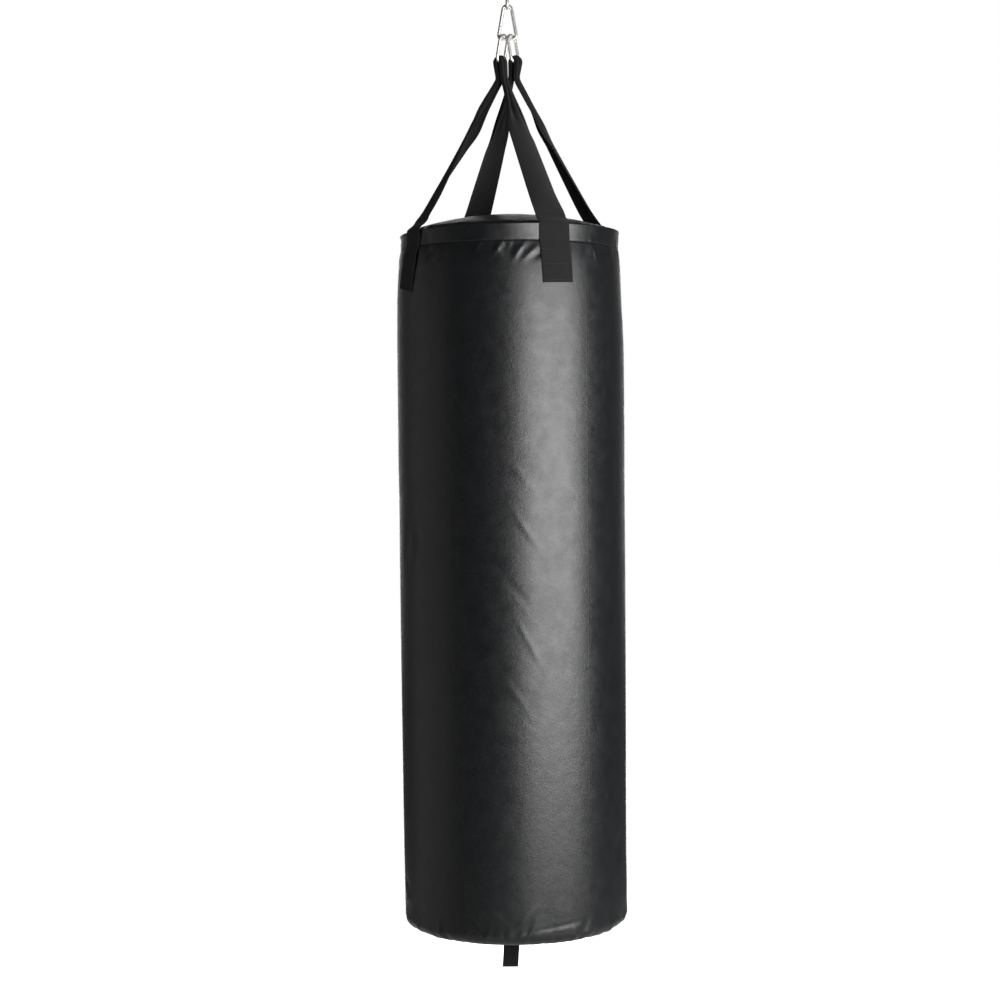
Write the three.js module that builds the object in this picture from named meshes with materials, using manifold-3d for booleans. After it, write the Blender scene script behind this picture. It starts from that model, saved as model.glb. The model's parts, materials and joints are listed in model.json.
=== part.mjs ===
// A heavy bag for boxing practice. A stuffed synthetic-leather cylinder hangs on two lengths of
// webbing, and each length is bunched through its own oval link. Both oval links hang on a
// pear-shaped link, and that hangs on an upper chain link.
//
// Millimetres, +Z up. The origin is the point of the upper link that bears on its hook.
// An azimuth is counted from the front of the bag (-Y), positive towards +X.

import * as THREE from "three";
import { mergeVertices } from "three/addons/utils/BufferGeometryUtils.js";
import Module from "manifold-3d";

const wasm = await Module();
wasm.setup();

// ---------------------------------------------------------------- driving dimensions

const BAG_RADIUS = 175;
const WALL_HEIGHT = 1082;
const HANG_TO_RIM = 394;
const LID_CROWN = 30.5;
const BASE_CROWN = 9;
const BASE_EDGE_RADIUS = 8;
const COVER_THICKNESS = 1.5;
const GAP = 0.3; // clearance between pieces that touch
const SEWN_GAP = 0.5; // clearance of faceted round pieces that touch
const COVER_SLACK = 3.5; // room between the cover wall and the lining, so that the cover can crease
const BAR_GAP = 0.55; // clearance between the pear link's bar and the strap links that turn on it

const WEBBING_WIDTH = 50;
const WEBBING_THICKNESS = 2;
const SEWN_LENGTH = 90; // how far a strap end runs down the outside of the wall
const LEG_RADIUS = 158; // where a leg leaves the rim, inside of the wall
const LEG_FOOT_HEIGHT = 15; // and how far above the rim
const STRAP_AZIMUTHS = [24, -66]; // the two legs of the front strap
const BUNCH_WIDTH = 8.5; // width of the webbing where it is bunched through its link
const BUNCH_HOLLOW = 4.4; // inner radius of the bunched arch over the wire of its link
const BUNCH_LIFT = 1.7; // height of the arch above the wire
const GATHER = { x: -9.3, below: 27, apart: 6.4 }; // where both legs come together under the arch

const UPPER_LINK = { wire: 5.5, innerLength: 36, innerWidth: 11 };
const PEAR_LINK = { wire: 5.5, height: 58, topWidth: 19, baseWidth: 33, cornerRadius: 5.5 };
const STRAP_LINK = { wire: 5, length: 48, width: 24, turn: 38, topOffset: 5.8, baseOffset: 12 };

const ROUND_SEGMENTS = 48;

const ZIP_LENGTH = 240;
const ZIP_SLOT_WIDTH = 12;
const ZIP_AZIMUTH = 69; // halfway between two strap legs
const SLIDER_TRAVEL = 216;

const TIE_LOOP = { x: -6, width: 25, ply: 2, length: 61, bellyRadius: 7.5, neckHalf: 2.2 };
const TIE_NECK = { straight: 10, bend: 24, splay: 30 }; // depths below the line that the loop bends on
const TIE_EYE_TOP = 17;

// ---------------------------------------------------------------- values worked out from them

const degrees = THREE.MathUtils.degToRad;

const rimZ = -HANG_TO_RIM;
const baseZ = rimZ - WALL_HEIGHT;
const wallInner = BAG_RADIUS - COVER_THICKNESS;
const baseRadius = BAG_RADIUS - BASE_EDGE_RADIUS;

const lidEdge = wallInner - SEWN_GAP;
const domeRadius = (lidEdge ** 2 + LID_CROWN ** 2) / (2 * LID_CROWN);
const domeCentreZ = rimZ + LID_CROWN - domeRadius;

const upperWireZ = -UPPER_LINK.innerLength - UPPER_LINK.wire / 2;
const pearTopZ = upperWireZ + (UPPER_LINK.wire + PEAR_LINK.wire) / 2 + GAP;
const pearBarZ = pearTopZ - (PEAR_LINK.height - PEAR_LINK.wire);
const strapLinkTopZ = pearBarZ + (PEAR_LINK.wire + STRAP_LINK.wire) / 2 + BAR_GAP;
const strapLinkBaseZ = strapLinkTopZ - (STRAP_LINK.length - STRAP_LINK.wire);
const strapLinkSplay = Math.asin(
  (STRAP_LINK.baseOffset - STRAP_LINK.topOffset) / (pearBarZ - strapLinkBaseZ),
);

// ---------------------------------------------------------------- materials

const surface = (color, roughness, metalness = 0) =>
  new THREE.MeshStandardMaterial({ color, roughness, metalness });

const STEEL = surface(0xb9bbbd, 0.25, 1);
const LEATHER = surface(0x17181a, 0.42);
const WEBBING = surface(0x0d0d0e, 0.85);
const ZIP_TAPE = surface(0x101011, 0.9);
const ZIP_TEETH = surface(0x18181a, 0.5);
const ZIP_METAL = surface(0x8d8f92, 0.3, 1);
const LINING = surface(0x5c5f63, 0.9);
const FOAM = surface(0xc9c6bb, 0.95);
const FILLING = surface(0x6d6a70, 1);

// ---------------------------------------------------------------- shape helpers

// The solid that manifold-3d joins and cuts.
function toSolid(geometry) {
  const bare = geometry.clone();
  bare.deleteAttribute("normal");
  bare.deleteAttribute("uv");
  const merged = mergeVertices(bare, 1e-3);
  return new wasm.Manifold(
    new wasm.Mesh({
      numProp: 3,
      vertProperties: merged.attributes.position.array,
      triVerts: new Uint32Array(merged.index.array),
    }),
  );
}

function toGeometry(solid) {
  const mesh = solid.getMesh();
  const geometry = new THREE.BufferGeometry();
  geometry.setAttribute("position", new THREE.BufferAttribute(mesh.vertProperties, 3));
  geometry.setIndex(new THREE.BufferAttribute(mesh.triVerts, 1));
  geometry.computeVertexNormals();
  return geometry;
}

function box(xSize, ySize, zSize, x = 0, y = 0, z = 0) {
  return new THREE.BoxGeometry(xSize, ySize, zSize).translate(x, y, z);
}

// A profile of [radius, z] points, turned about Z.
function turned(profile, segments = ROUND_SEGMENTS) {
  const points = profile.map(([radius, z]) => new THREE.Vector2(radius, z));
  return new THREE.LatheGeometry(points, segments).rotateX(Math.PI / 2);
}

// A tube from one radius to another. The profile closes on itself.
function ring(inner, outer, low, high) {
  return turned([
    [inner, low],
    [outer, low],
    [outer, high],
    [inner, high],
    [inner, low],
  ]);
}

// Points of a sphere about the dome centre, from one radius off the axis to another.
function domeArc(sphereRadius, from, to, steps = 6) {
  return Array.from({ length: steps + 1 }, (_, i) => {
    const radius = from + ((to - from) * i) / steps;
    return [radius, domeCentreZ + Math.sqrt(sphereRadius ** 2 - radius ** 2)];
  });
}

// Points of the shallow crown under the base, a distance above its outer face.
function baseArc(above, from, to, steps = 4) {
  return Array.from({ length: steps + 1 }, (_, i) => {
    const radius = from + ((to - from) * i) / steps;
    return [radius, baseZ + above - BASE_CROWN * (1 - (radius / baseRadius) ** 2)];
  });
}

// A round bar bent into a closed link. The outline is in X and Z.
class LinkLine extends THREE.Curve {
  constructor(outline) {
    super();
    this.outline = outline;
  }

  getPoint(t) {
    const point = this.outline.getPointAt(t);
    return new THREE.Vector3(point.x, 0, point.y);
  }
}

function bentLink(outline, wire) {
  const STEP = 2.8;
  const steps = Math.round(outline.getLength() / STEP);
  return new THREE.TubeGeometry(new LinkLine(outline), steps, wire / 2, 8, true);
}

function ovalOutline(halfWidth, topZ, lowZ) {
  const outline = new THREE.Path();
  outline.moveTo(halfWidth, lowZ + halfWidth);
  outline.absarc(0, topZ - halfWidth, halfWidth, 0, Math.PI);
  outline.absarc(0, lowZ + halfWidth, halfWidth, Math.PI, 2 * Math.PI);
  return outline;
}

// A small arc at the top, a wider flat bar below with round corners, and straight sides that
// touch both.
function pearOutline() {
  const { wire, topWidth, baseWidth, cornerRadius } = PEAR_LINK;
  const topRadius = (topWidth - wire) / 2;
  const cornerX = (baseWidth - wire) / 2 - cornerRadius;
  const topCentreZ = pearTopZ - topRadius;
  const cornerZ = pearBarZ + cornerRadius;
  const reach = Math.hypot(cornerX, topCentreZ - cornerZ);
  const sideAngle =
    Math.acos((topRadius - cornerRadius) / reach) - Math.atan2(topCentreZ - cornerZ, cornerX);
  const outline = new THREE.Path();
  outline.moveTo(-cornerX, pearBarZ);
  outline.absarc(cornerX, cornerZ, cornerRadius, -Math.PI / 2, sideAngle);
  outline.absarc(0, topCentreZ, topRadius, sideAngle, Math.PI - sideAngle);
  outline.absarc(-cornerX, cornerZ, cornerRadius, Math.PI - sideAngle, 1.5 * Math.PI);
  return outline;
}

// A solid skinned over equal rings of points, with a flat cap at both ends.
function skinned(rings) {
  const count = rings[0].length;
  const faces = [];
  for (let r = 0; r < rings.length - 1; r++) {
    for (let i = 0; i < count; i++) {
      const a = r * count + i;
      const b = r * count + ((i + 1) % count);
      faces.push(a, b + count, b, a, a + count, b + count);
    }
  }
  const last = (rings.length - 1) * count;
  for (let i = 1; i < count - 1; i++) {
    faces.push(0, i, i + 1, last, last + i + 1, last + i);
  }
  const geometry = new THREE.BufferGeometry().setFromPoints(rings.flat());
  geometry.setIndex(faces);
  geometry.computeVertexNormals();
  return geometry;
}

// ---------------------------------------------------------------- webbing straps

const linkAngle = 90 - STRAP_LINK.turn; // direction of the strap link's plane, from +X
const bunchThickness = (WEBBING_WIDTH * WEBBING_THICKNESS) / BUNCH_WIDTH;
const sewnRadius = BAG_RADIUS + SEWN_GAP + WEBBING_THICKNESS / 2;

const archRadius = BUNCH_HOLLOW + bunchThickness / 2;
const archZ = strapLinkBaseZ + STRAP_LINK.wire / 2 + BUNCH_LIFT - BUNCH_HOLLOW;
const archCentre = new THREE.Vector3(-STRAP_LINK.baseOffset, 0, archZ);
const acrossWire = new THREE.Vector3(
  Math.cos(degrees(-STRAP_LINK.turn)),
  Math.sin(degrees(-STRAP_LINK.turn)),
  0,
);

// One leg from its sewn end, over the rim, up to the gather and the arch. `share` runs from 0 at the
// rim to 1 at the gather, where the webbing is bunched to its smallest width and stands across the
// link. `side` is 1 or -1, the side of the wire that the leg comes down on.
function legStations(azimuth, side, bagAngle) {
  const outward = new THREE.Vector3(Math.sin(degrees(azimuth)), -Math.cos(degrees(azimuth)), 0);
  const straightUp = [-1, -0.67, -0.33, -0.09].map((part) => [sewnRadius, part * SEWN_LENGTH]);
  const bendStart = [sewnRadius, 2];
  const bendMiddle = [LEG_RADIUS + 5, 9];
  const wrapped = [...straightUp, bendStart, bendMiddle].map(([radius, up]) => ({
    centre: outward.clone().multiplyScalar(radius).setZ(rimZ + up),
    share: 0,
    bow: 1 / sewnRadius,
  }));
  const legFoot = outward.clone().multiplyScalar(LEG_RADIUS).setZ(rimZ + LEG_FOOT_HEIGHT);
  const gather = new THREE.Vector3(GATHER.x, 0, archZ - GATHER.below);
  gather.addScaledVector(acrossWire, side * GATHER.apart);
  const FREE_STEPS = 9;
  const FLAT_FROM = 0.3; // the share from which the webbing no longer bows with the wall
  const free = Array.from({ length: FREE_STEPS + 1 }, (_, i) => ({
    centre: legFoot.clone().lerp(gather, i / FREE_STEPS),
    share: i / FREE_STEPS,
    bow: Math.max(0, 1 - i / FREE_STEPS / FLAT_FROM) / sewnRadius,
  }));
  const archFoot = archCentre.clone().addScaledVector(acrossWire, side * archRadius);
  const rising = [0.45, 0.9].map((part) => ({
    centre: gather.clone().lerp(archFoot, part),
    share: 1,
    bow: 0,
  }));
  return [...wrapped, ...free, ...rising].map((station) => ({
    ...station,
    angle: THREE.MathUtils.lerp(bagAngle, linkAngle, station.share),
  }));
}

// The arch over the wire of the left strap link, as stations `swing` degrees off the top.
function archStations() {
  return [66, 40, 13, -13, -40, -66].map((swing) => ({
    centre: archCentre
      .clone()
      .addScaledVector(acrossWire, archRadius * Math.sin(degrees(swing)))
      .add(new THREE.Vector3(0, 0, archRadius * Math.cos(degrees(swing)))),
    share: 1,
    bow: 0,
    angle: linkAngle,
  }));
}

// The outline of the webbing across one station, slightly thinner at both edges.
function webbingSection({ centre, across, face, share, bow }) {
  const EDGE_SHARE = 0.6;
  const LATE = 1.2; // above 1, more of the narrowing is near the gather
  const narrowing = 1 - (1 - BUNCH_WIDTH / WEBBING_WIDTH) * share ** LATE;
  const width = WEBBING_WIDTH * narrowing;
  const thickness = WEBBING_THICKNESS / narrowing;
  const row = (side) =>
    [-1, -0.5, 0, 0.5, 1].map((place) => {
      const reach = (place * width) / 2;
      const half = (thickness / 2) * (Math.abs(place) === 1 ? EDGE_SHARE : 1);
      return centre
        .clone()
        .addScaledVector(across, reach)
        .addScaledVector(face, side * half - (bow * reach ** 2) / 2);
    });
  return [...row(-1), ...row(1).reverse()];
}

function strapGeometry() {
  const arch = archStations();
  const [first, second] = STRAP_AZIMUTHS;
  const stations = [
    ...legStations(first, 1, first),
    ...arch,
    ...legStations(second, -1, second + 180).reverse(),
  ];
  const rings = stations.map((station, i) => {
    const before = stations[Math.max(i - 1, 0)].centre;
    const after = stations[Math.min(i + 1, stations.length - 1)].centre;
    const along = after.clone().sub(before).normalize();
    const level = degrees(station.angle);
    const across = new THREE.Vector3(Math.cos(level), Math.sin(level), 0);
    across.addScaledVector(along, -across.dot(along)).normalize();
    const face = across.clone().cross(along);
    return webbingSection({ ...station, across, face });
  });
  return skinned(rings);
}

// ---------------------------------------------------------------- the stuffed cylinder

function coverWall() {
  const corner = (radius, steps = 3) =>
    Array.from({ length: steps + 1 }, (_, i) => {
      const turn = (i / steps) * (Math.PI / 2);
      return [
        baseRadius + radius * Math.sin(turn),
        baseZ + BASE_EDGE_RADIUS - radius * Math.cos(turn),
      ];
    });
  const outer = corner(BASE_EDGE_RADIUS);
  const inner = corner(BASE_EDGE_RADIUS - COVER_THICKNESS).reverse();
  return turned([
    ...outer,
    [BAG_RADIUS, rimZ],
    [wallInner, rimZ],
    ...inner,
    outer[0],
  ]);
}

// Half of the domed lid, on the -Y side of the zip, with its flange inside the wall.
function lidPanel() {
  const FLANGE_DEPTH = 12;
  const flangeInner = lidEdge - COVER_THICKNESS;
  const lid = toSolid(
    turned([
      ...domeArc(domeRadius - COVER_THICKNESS, 0, flangeInner),
      [flangeInner, rimZ - FLANGE_DEPTH],
      [lidEdge, rimZ - FLANGE_DEPTH],
      ...domeArc(domeRadius, lidEdge, 0),
    ]),
  );
  const SPAN = 400;
  const otherHalf = toSolid(box(SPAN, SPAN, SPAN, 0, (SPAN - GAP) / 2, rimZ));
  const slot = toSolid(box(ZIP_LENGTH, ZIP_SLOT_WIDTH, SPAN, 0, 0, rimZ));
  return toGeometry(lid.subtract(otherHalf).subtract(slot));
}

function basePanel() {
  const edge = baseRadius - GAP;
  return turned([...baseArc(0, 0, edge), ...baseArc(COVER_THICKNESS, edge, 0)]);
}

function basePatch() {
  const PATCH_RADIUS = 40;
  const low = COVER_THICKNESS + GAP;
  return turned([
    ...baseArc(low, 0, PATCH_RADIUS, 2),
    ...baseArc(low + COVER_THICKNESS, PATCH_RADIUS, 0, 2),
  ]);
}

// The radii of the layers inside the wall, each clear of the one outside it.
const LINING_THICKNESS = 0.6;
const FOAM_THICKNESS = 12;
const liningOuter = wallInner - COVER_SLACK;
const liningInner = liningOuter - LINING_THICKNESS;
const rimWebbingOuter = liningInner - GAP;
const rimWebbingInner = rimWebbingOuter - WEBBING_THICKNESS;
const patchOuter = rimWebbingInner - SEWN_GAP - 0.2;
const patchInner = patchOuter - COVER_THICKNESS;
const foamInner = liningInner - GAP - FOAM_THICKNESS;
const coreRadius = foamInner - GAP;
const layersLowZ = baseZ + BASE_EDGE_RADIUS + 1;

const LINING_TOP = 13; // depths below the rim
const PATCH_TOP = 10;
const FOAM_TOP = 2;
const PATCH_HEIGHT = 100;
const PATCH_WIDTH = 70;

// A backing patch behind one sewn strap end, centred on +X.
function strapPatch() {
  const half = PATCH_WIDTH / 2 / patchOuter;
  const outline = new THREE.Shape();
  outline.absarc(0, 0, patchOuter, -half, half);
  outline.absarc(0, 0, patchInner, half, -half, true);
  return new THREE.ExtrudeGeometry(outline, {
    depth: PATCH_HEIGHT,
    bevelEnabled: false,
    curveSegments: 6,
  }).translate(0, 0, rimZ - PATCH_TOP - PATCH_HEIGHT);
}

// The foam wall is thinner behind the rim webbing and the patches.
function foamWall() {
  const STEP_CLEARANCE = 2;
  const stepZ = rimZ - PATCH_TOP - PATCH_HEIGHT - STEP_CLEARANCE;
  const topZ = rimZ - FOAM_TOP;
  const behindPatches = patchInner - GAP;
  const behindLining = liningInner - GAP;
  return turned([
    [foamInner, layersLowZ],
    [behindLining, layersLowZ],
    [behindLining, stepZ],
    [behindPatches, stepZ],
    [behindPatches, topZ],
    [foamInner, topZ],
    [foamInner, layersLowZ],
  ]);
}

const FOAM_EDGE = 15; // thickness of a foam disc at its edge
const foamDomeRadius = domeRadius - 4; // below the zip, with its tapes and teeth
const foamTopFlatZ = domeArc(foamDomeRadius, coreRadius, coreRadius, 1)[0][1] - FOAM_EDGE;
const foamBaseFlatZ = baseZ + FOAM_EDGE;

function foamTop() {
  return turned([
    [0, foamTopFlatZ],
    [coreRadius, foamTopFlatZ],
    ...domeArc(foamDomeRadius, coreRadius, 0),
  ]);
}

function foamBase() {
  const low = 2 * COVER_THICKNESS + 2 * GAP;
  return turned([
    ...baseArc(low, 0, coreRadius),
    [coreRadius, foamBaseFlatZ],
    [0, foamBaseFlatZ],
  ]);
}

function fillingCore() {
  const height = foamTopFlatZ - foamBaseFlatZ - 2 * GAP;
  const middle = (foamTopFlatZ + foamBaseFlatZ) / 2;
  return new THREE.CylinderGeometry(coreRadius, coreRadius, height, ROUND_SEGMENTS)
    .rotateX(Math.PI / 2)
    .translate(0, 0, middle);
}

// ---------------------------------------------------------------- zip, running along X

// A strip along the dome, `low` and `high` above its surface, from one side of X to the other.
function domeStrip(low, high, halfLength, yFrom, yTo) {
  const half = halfLength / domeRadius;
  const outline = new THREE.Shape();
  outline.absarc(0, 0, domeRadius + high, Math.PI / 2 - half, Math.PI / 2 + half);
  outline.absarc(0, 0, domeRadius + low, Math.PI / 2 + half, Math.PI / 2 - half, true);
  const depth = yTo - yFrom;
  return new THREE.ExtrudeGeometry(outline, { depth, bevelEnabled: false, curveSegments: 20 })
    .translate(0, 0, -yTo)
    .rotateX(Math.PI / 2)
    .translate(0, 0, domeCentreZ);
}

// The slider has a plate over the teeth, a flange down each side and an arch for the pull.
// Its own origin is on the dome's surface, with +X along the zip.
const SLIDER = { length: 13, width: 10, plateLow: 0.1, plateHigh: 1.6, archRadius: 4.2 };
const SLIDER_FLANGE = { width: 1.4, height: 1.8, y: 4.3, z: -0.6 };

function zipSlider() {
  const { length, width, plateLow, plateHigh, archRadius } = SLIDER;
  const plateThickness = plateHigh - plateLow;
  const plate = box(length, width, plateThickness, 0, 0, plateLow + plateThickness / 2);
  const flange = (side) =>
    box(length, SLIDER_FLANGE.width, SLIDER_FLANGE.height, 0, side * SLIDER_FLANGE.y, SLIDER_FLANGE.z);
  const ARCH_THICKNESS = 1.5;
  const ARCH_WIDTH = 1.8;
  const ARCH_SINK = 0.05; // how far the arch runs into the plate
  const arch = new THREE.Shape();
  arch.absarc(0, 0, archRadius, 0, Math.PI);
  arch.absarc(0, 0, archRadius - ARCH_THICKNESS, Math.PI, 0, true);
  const archBody = new THREE.ExtrudeGeometry(arch, {
    depth: ARCH_WIDTH,
    bevelEnabled: false,
    curveSegments: 10,
  })
    .translate(0, 0, -ARCH_WIDTH / 2)
    .rotateX(Math.PI / 2)
    .translate(0, 0, plateHigh - ARCH_SINK);
  return toGeometry(
    toSolid(plate).add(toSolid(flange(1))).add(toSolid(flange(-1))).add(toSolid(archBody)),
  );
}

// A flat pull with a window for the slider's arch. Its own origin is its pivot.
const PULL_PIVOT = SLIDER.plateHigh + 1.4;
const PULL = { back: 0.9, rootHalf: 3.2, tipX: 18, tipRadius: 2.6, thickness: 1.4 };
const PULL_WINDOW = { from: 0.9, to: 5, half: 1.6 };

function zipPull() {
  const outline = new THREE.Shape();
  outline.moveTo(-PULL.back, -PULL.rootHalf);
  outline.lineTo(PULL.tipX, -PULL.tipRadius);
  outline.absarc(PULL.tipX, 0, PULL.tipRadius, -Math.PI / 2, Math.PI / 2);
  outline.lineTo(-PULL.back, PULL.rootHalf);
  outline.closePath();
  const { from, to, half } = PULL_WINDOW;
  const window = new THREE.Path();
  window.moveTo(from, -half);
  window.lineTo(from, half);
  window.lineTo(to, half);
  window.lineTo(to, -half);
  window.closePath();
  outline.holes.push(window);
  return new THREE.ExtrudeGeometry(outline, {
    depth: PULL.thickness,
    bevelEnabled: false,
    curveSegments: 8,
  }).translate(0, 0, -PULL.thickness / 2);
}

// ---------------------------------------------------------------- tie-down loop

// Its top is round about the line it bends on, and the hole through it runs along X.
function tieLoop() {
  const { width, ply, length, bellyRadius, neckHalf } = TIE_LOOP;
  const bellyZ = -(length - neckHalf - bellyRadius);
  const outline = new THREE.Shape();
  outline.absarc(0, 0, neckHalf, 0, Math.PI);
  const { straight, bend, splay } = TIE_NECK;
  outline.lineTo(-neckHalf, -straight);
  outline.bezierCurveTo(-neckHalf, -bend, -bellyRadius, -splay, -bellyRadius, bellyZ);
  outline.absarc(0, bellyZ, bellyRadius, Math.PI, 2 * Math.PI);
  outline.bezierCurveTo(bellyRadius, -splay, neckHalf, -bend, neckHalf, -straight);
  outline.closePath();
  const eyeRadius = bellyRadius - ply;
  const eyeSplay = splay + ply;
  const eye = new THREE.Path();
  eye.moveTo(0, -TIE_EYE_TOP);
  eye.bezierCurveTo(ply, -bend, eyeRadius, -eyeSplay, eyeRadius, bellyZ);
  eye.absarc(0, bellyZ, eyeRadius, 0, -Math.PI, true);
  eye.bezierCurveTo(-eyeRadius, -eyeSplay, -ply, -bend, 0, -TIE_EYE_TOP);
  outline.holes.push(eye);
  return new THREE.ExtrudeGeometry(outline, {
    depth: width,
    bevelEnabled: false,
    curveSegments: 8,
  })
    .translate(0, 0, -width / 2)
    .rotateX(Math.PI / 2)
    .rotateZ(Math.PI / 2);
}

const tieFootZ = baseZ - BASE_CROWN - GAP - TIE_LOOP.ply;
const tiePivotZ = tieFootZ - GAP - TIE_LOOP.neckHalf;

// ---------------------------------------------------------------- assembly

const bag = new THREE.Group();

function add(name, geometry, material, parent = bag) {
  const mesh = new THREE.Mesh(geometry, material);
  mesh.name = name;
  parent.add(mesh);
  return mesh;
}

function addLinks() {
  const { wire, innerWidth } = UPPER_LINK;
  const upper = ovalOutline((innerWidth + wire) / 2, wire / 2, upperWireZ);
  add("upper_link", bentLink(upper, wire), STEEL).rotation.z = Math.PI / 2;
  add("pear_link", bentLink(pearOutline(), PEAR_LINK.wire), STEEL);
  const oval = ovalOutline(
    (STRAP_LINK.width - STRAP_LINK.wire) / 2,
    strapLinkTopZ,
    strapLinkBaseZ,
  );
  for (const [name, side] of [["strap_link_left", -1], ["strap_link_right", 1]]) {
    const onBar = new THREE.Group();
    onBar.position.set(side * STRAP_LINK.topOffset, 0, pearBarZ);
    onBar.rotation.y = -side * strapLinkSplay;
    bag.add(onBar);
    const link = add(name, bentLink(oval, STRAP_LINK.wire), STEEL, onBar);
    link.position.z = -pearBarZ;
    link.rotation.z = degrees(linkAngle);
  }
}

// The rear strap is the front one, half a turn round the bag.
function addStraps() {
  add("strap_front", strapGeometry(), WEBBING);
  add("strap_rear", strapGeometry(), WEBBING).rotation.z = Math.PI;
}

function addCover() {
  add("cover_wall", coverWall(), LEATHER);
  add("base_panel", basePanel(), LEATHER);
}

function addFilling() {
  const liningTopZ = rimZ - LINING_TOP;
  add("lining", ring(liningInner, liningOuter, layersLowZ, liningTopZ), LINING);
  add(
    "rim_webbing",
    ring(rimWebbingInner, rimWebbingOuter, liningTopZ - WEBBING_WIDTH, liningTopZ),
    WEBBING,
  );
  const corners = ["front_right", "left_front", "rear_left", "right_rear"];
  const azimuths = [...STRAP_AZIMUTHS, ...STRAP_AZIMUTHS.map((a) => a + 180)];
  corners.forEach((corner, i) => {
    add("strap_patch_" + corner, strapPatch(), LEATHER).rotation.z = degrees(azimuths[i] - 90);
  });
  add("foam_wall", foamWall(), FOAM);
  add("foam_top", foamTop(), FOAM);
  add("foam_base", foamBase(), FOAM);
  add("filling_core", fillingCore(), FILLING);
  add("base_patch", basePatch(), LEATHER);
}

function addLidAndZip() {
  const lid = new THREE.Group();
  lid.rotation.z = degrees(ZIP_AZIMUTH - 90);
  bag.add(lid);
  add("lid_panel_front", lidPanel(), LEATHER, lid);
  add("lid_panel_rear", lidPanel(), LEATHER, lid).rotation.z = Math.PI;

  const TAPE = { low: -2.9, high: -2.1, from: 0.4, to: 15, overrun: 5 };
  const tapeHalf = ZIP_LENGTH / 2 + TAPE.overrun;
  const tape = () => domeStrip(TAPE.low, TAPE.high, tapeHalf, -TAPE.to, -TAPE.from);
  add("zip_tape_front", tape(), ZIP_TAPE, lid);
  add("zip_tape_rear", tape(), ZIP_TAPE, lid).rotation.z = Math.PI;

  const TEETH = { low: -1.8, high: -0.2, half: 3, endMargin: 5 };
  const teethHalf = ZIP_LENGTH / 2 - TEETH.endMargin;
  const teeth = domeStrip(TEETH.low, TEETH.high, teethHalf, -TEETH.half, TEETH.half);
  add("zip_teeth", teeth, ZIP_TEETH, lid);

  // A piece that sits on the dome, `along` millimetres from its top.
  const onDome = (along) => {
    const centre = new THREE.Group();
    centre.position.z = domeCentreZ;
    centre.rotation.y = along / domeRadius;
    lid.add(centre);
    const seat = new THREE.Group();
    seat.position.z = domeRadius;
    centre.add(seat);
    return seat;
  };
  const STOP = { length: 2.6, width: 6, height: 2.1, z: -0.75, beyondTeeth: 2 };
  const stopPlace = teethHalf + STOP.beyondTeeth;
  const stop = () => box(STOP.length, STOP.width, STOP.height, 0, 0, STOP.z);
  add("zip_stop_closed", stop(), ZIP_METAL, onDome(-stopPlace));
  add("zip_stop_open", stop(), ZIP_METAL, onDome(stopPlace));
  const sliderSeat = onDome(-SLIDER_TRAVEL / 2);
  sliderSeat.rotation.z = Math.PI;
  add("zip_slider", zipSlider(), ZIP_METAL, sliderSeat);
  add("zip_pull", zipPull(), ZIP_METAL, sliderSeat).position.z = PULL_PIVOT;
}

function addTieDown() {
  const FOOT_LENGTH = 56;
  const { x, width, ply } = TIE_LOOP;
  add("tie_loop_foot", box(width, FOOT_LENGTH, ply, x, 0, tieFootZ + ply / 2), WEBBING);
  add("tie_loop", tieLoop(), WEBBING).position.set(x, 0, tiePivotZ);
}

addLinks();
addStraps();
addCover();
addLidAndZip();
addFilling();
addTieDown();

export default bag;
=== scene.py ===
# The looks of a hanging heavy bag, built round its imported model. Metres, +Z up, the front is -Y.
# An azimuth is counted from the front, positive towards +X. A depth is counted down from the rim.
import json
import math

import bmesh
import bpy
import numpy as np
from mathutils import Matrix, Vector


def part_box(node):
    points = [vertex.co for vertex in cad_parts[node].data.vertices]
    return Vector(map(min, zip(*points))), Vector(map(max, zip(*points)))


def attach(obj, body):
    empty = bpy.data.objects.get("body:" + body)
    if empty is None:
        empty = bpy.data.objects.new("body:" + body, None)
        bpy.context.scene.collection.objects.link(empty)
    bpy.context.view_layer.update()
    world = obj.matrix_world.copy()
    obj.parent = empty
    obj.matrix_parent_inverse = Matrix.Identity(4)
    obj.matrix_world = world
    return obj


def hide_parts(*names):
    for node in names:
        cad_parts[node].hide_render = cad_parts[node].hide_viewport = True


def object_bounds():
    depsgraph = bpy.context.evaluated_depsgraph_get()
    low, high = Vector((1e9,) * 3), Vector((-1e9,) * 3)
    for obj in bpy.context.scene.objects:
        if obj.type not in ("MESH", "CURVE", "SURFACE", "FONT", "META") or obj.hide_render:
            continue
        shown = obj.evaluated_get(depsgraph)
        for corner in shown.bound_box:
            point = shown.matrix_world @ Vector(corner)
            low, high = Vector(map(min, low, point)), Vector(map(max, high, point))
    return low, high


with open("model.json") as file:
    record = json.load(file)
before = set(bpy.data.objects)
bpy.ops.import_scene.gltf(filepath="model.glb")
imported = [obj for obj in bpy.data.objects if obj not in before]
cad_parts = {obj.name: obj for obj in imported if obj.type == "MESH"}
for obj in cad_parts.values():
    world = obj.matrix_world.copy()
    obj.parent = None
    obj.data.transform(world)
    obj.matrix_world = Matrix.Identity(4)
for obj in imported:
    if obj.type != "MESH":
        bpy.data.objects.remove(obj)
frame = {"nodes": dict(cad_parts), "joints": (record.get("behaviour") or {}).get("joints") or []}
cad_low, cad_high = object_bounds()
nodes = frame["nodes"]
joints = {joint["name"]: joint for joint in frame["joints"]}
random = np.random.default_rng(11)
MM = 0.001

# ------------------------------------------------------------------ sizes read from the frame

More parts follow.
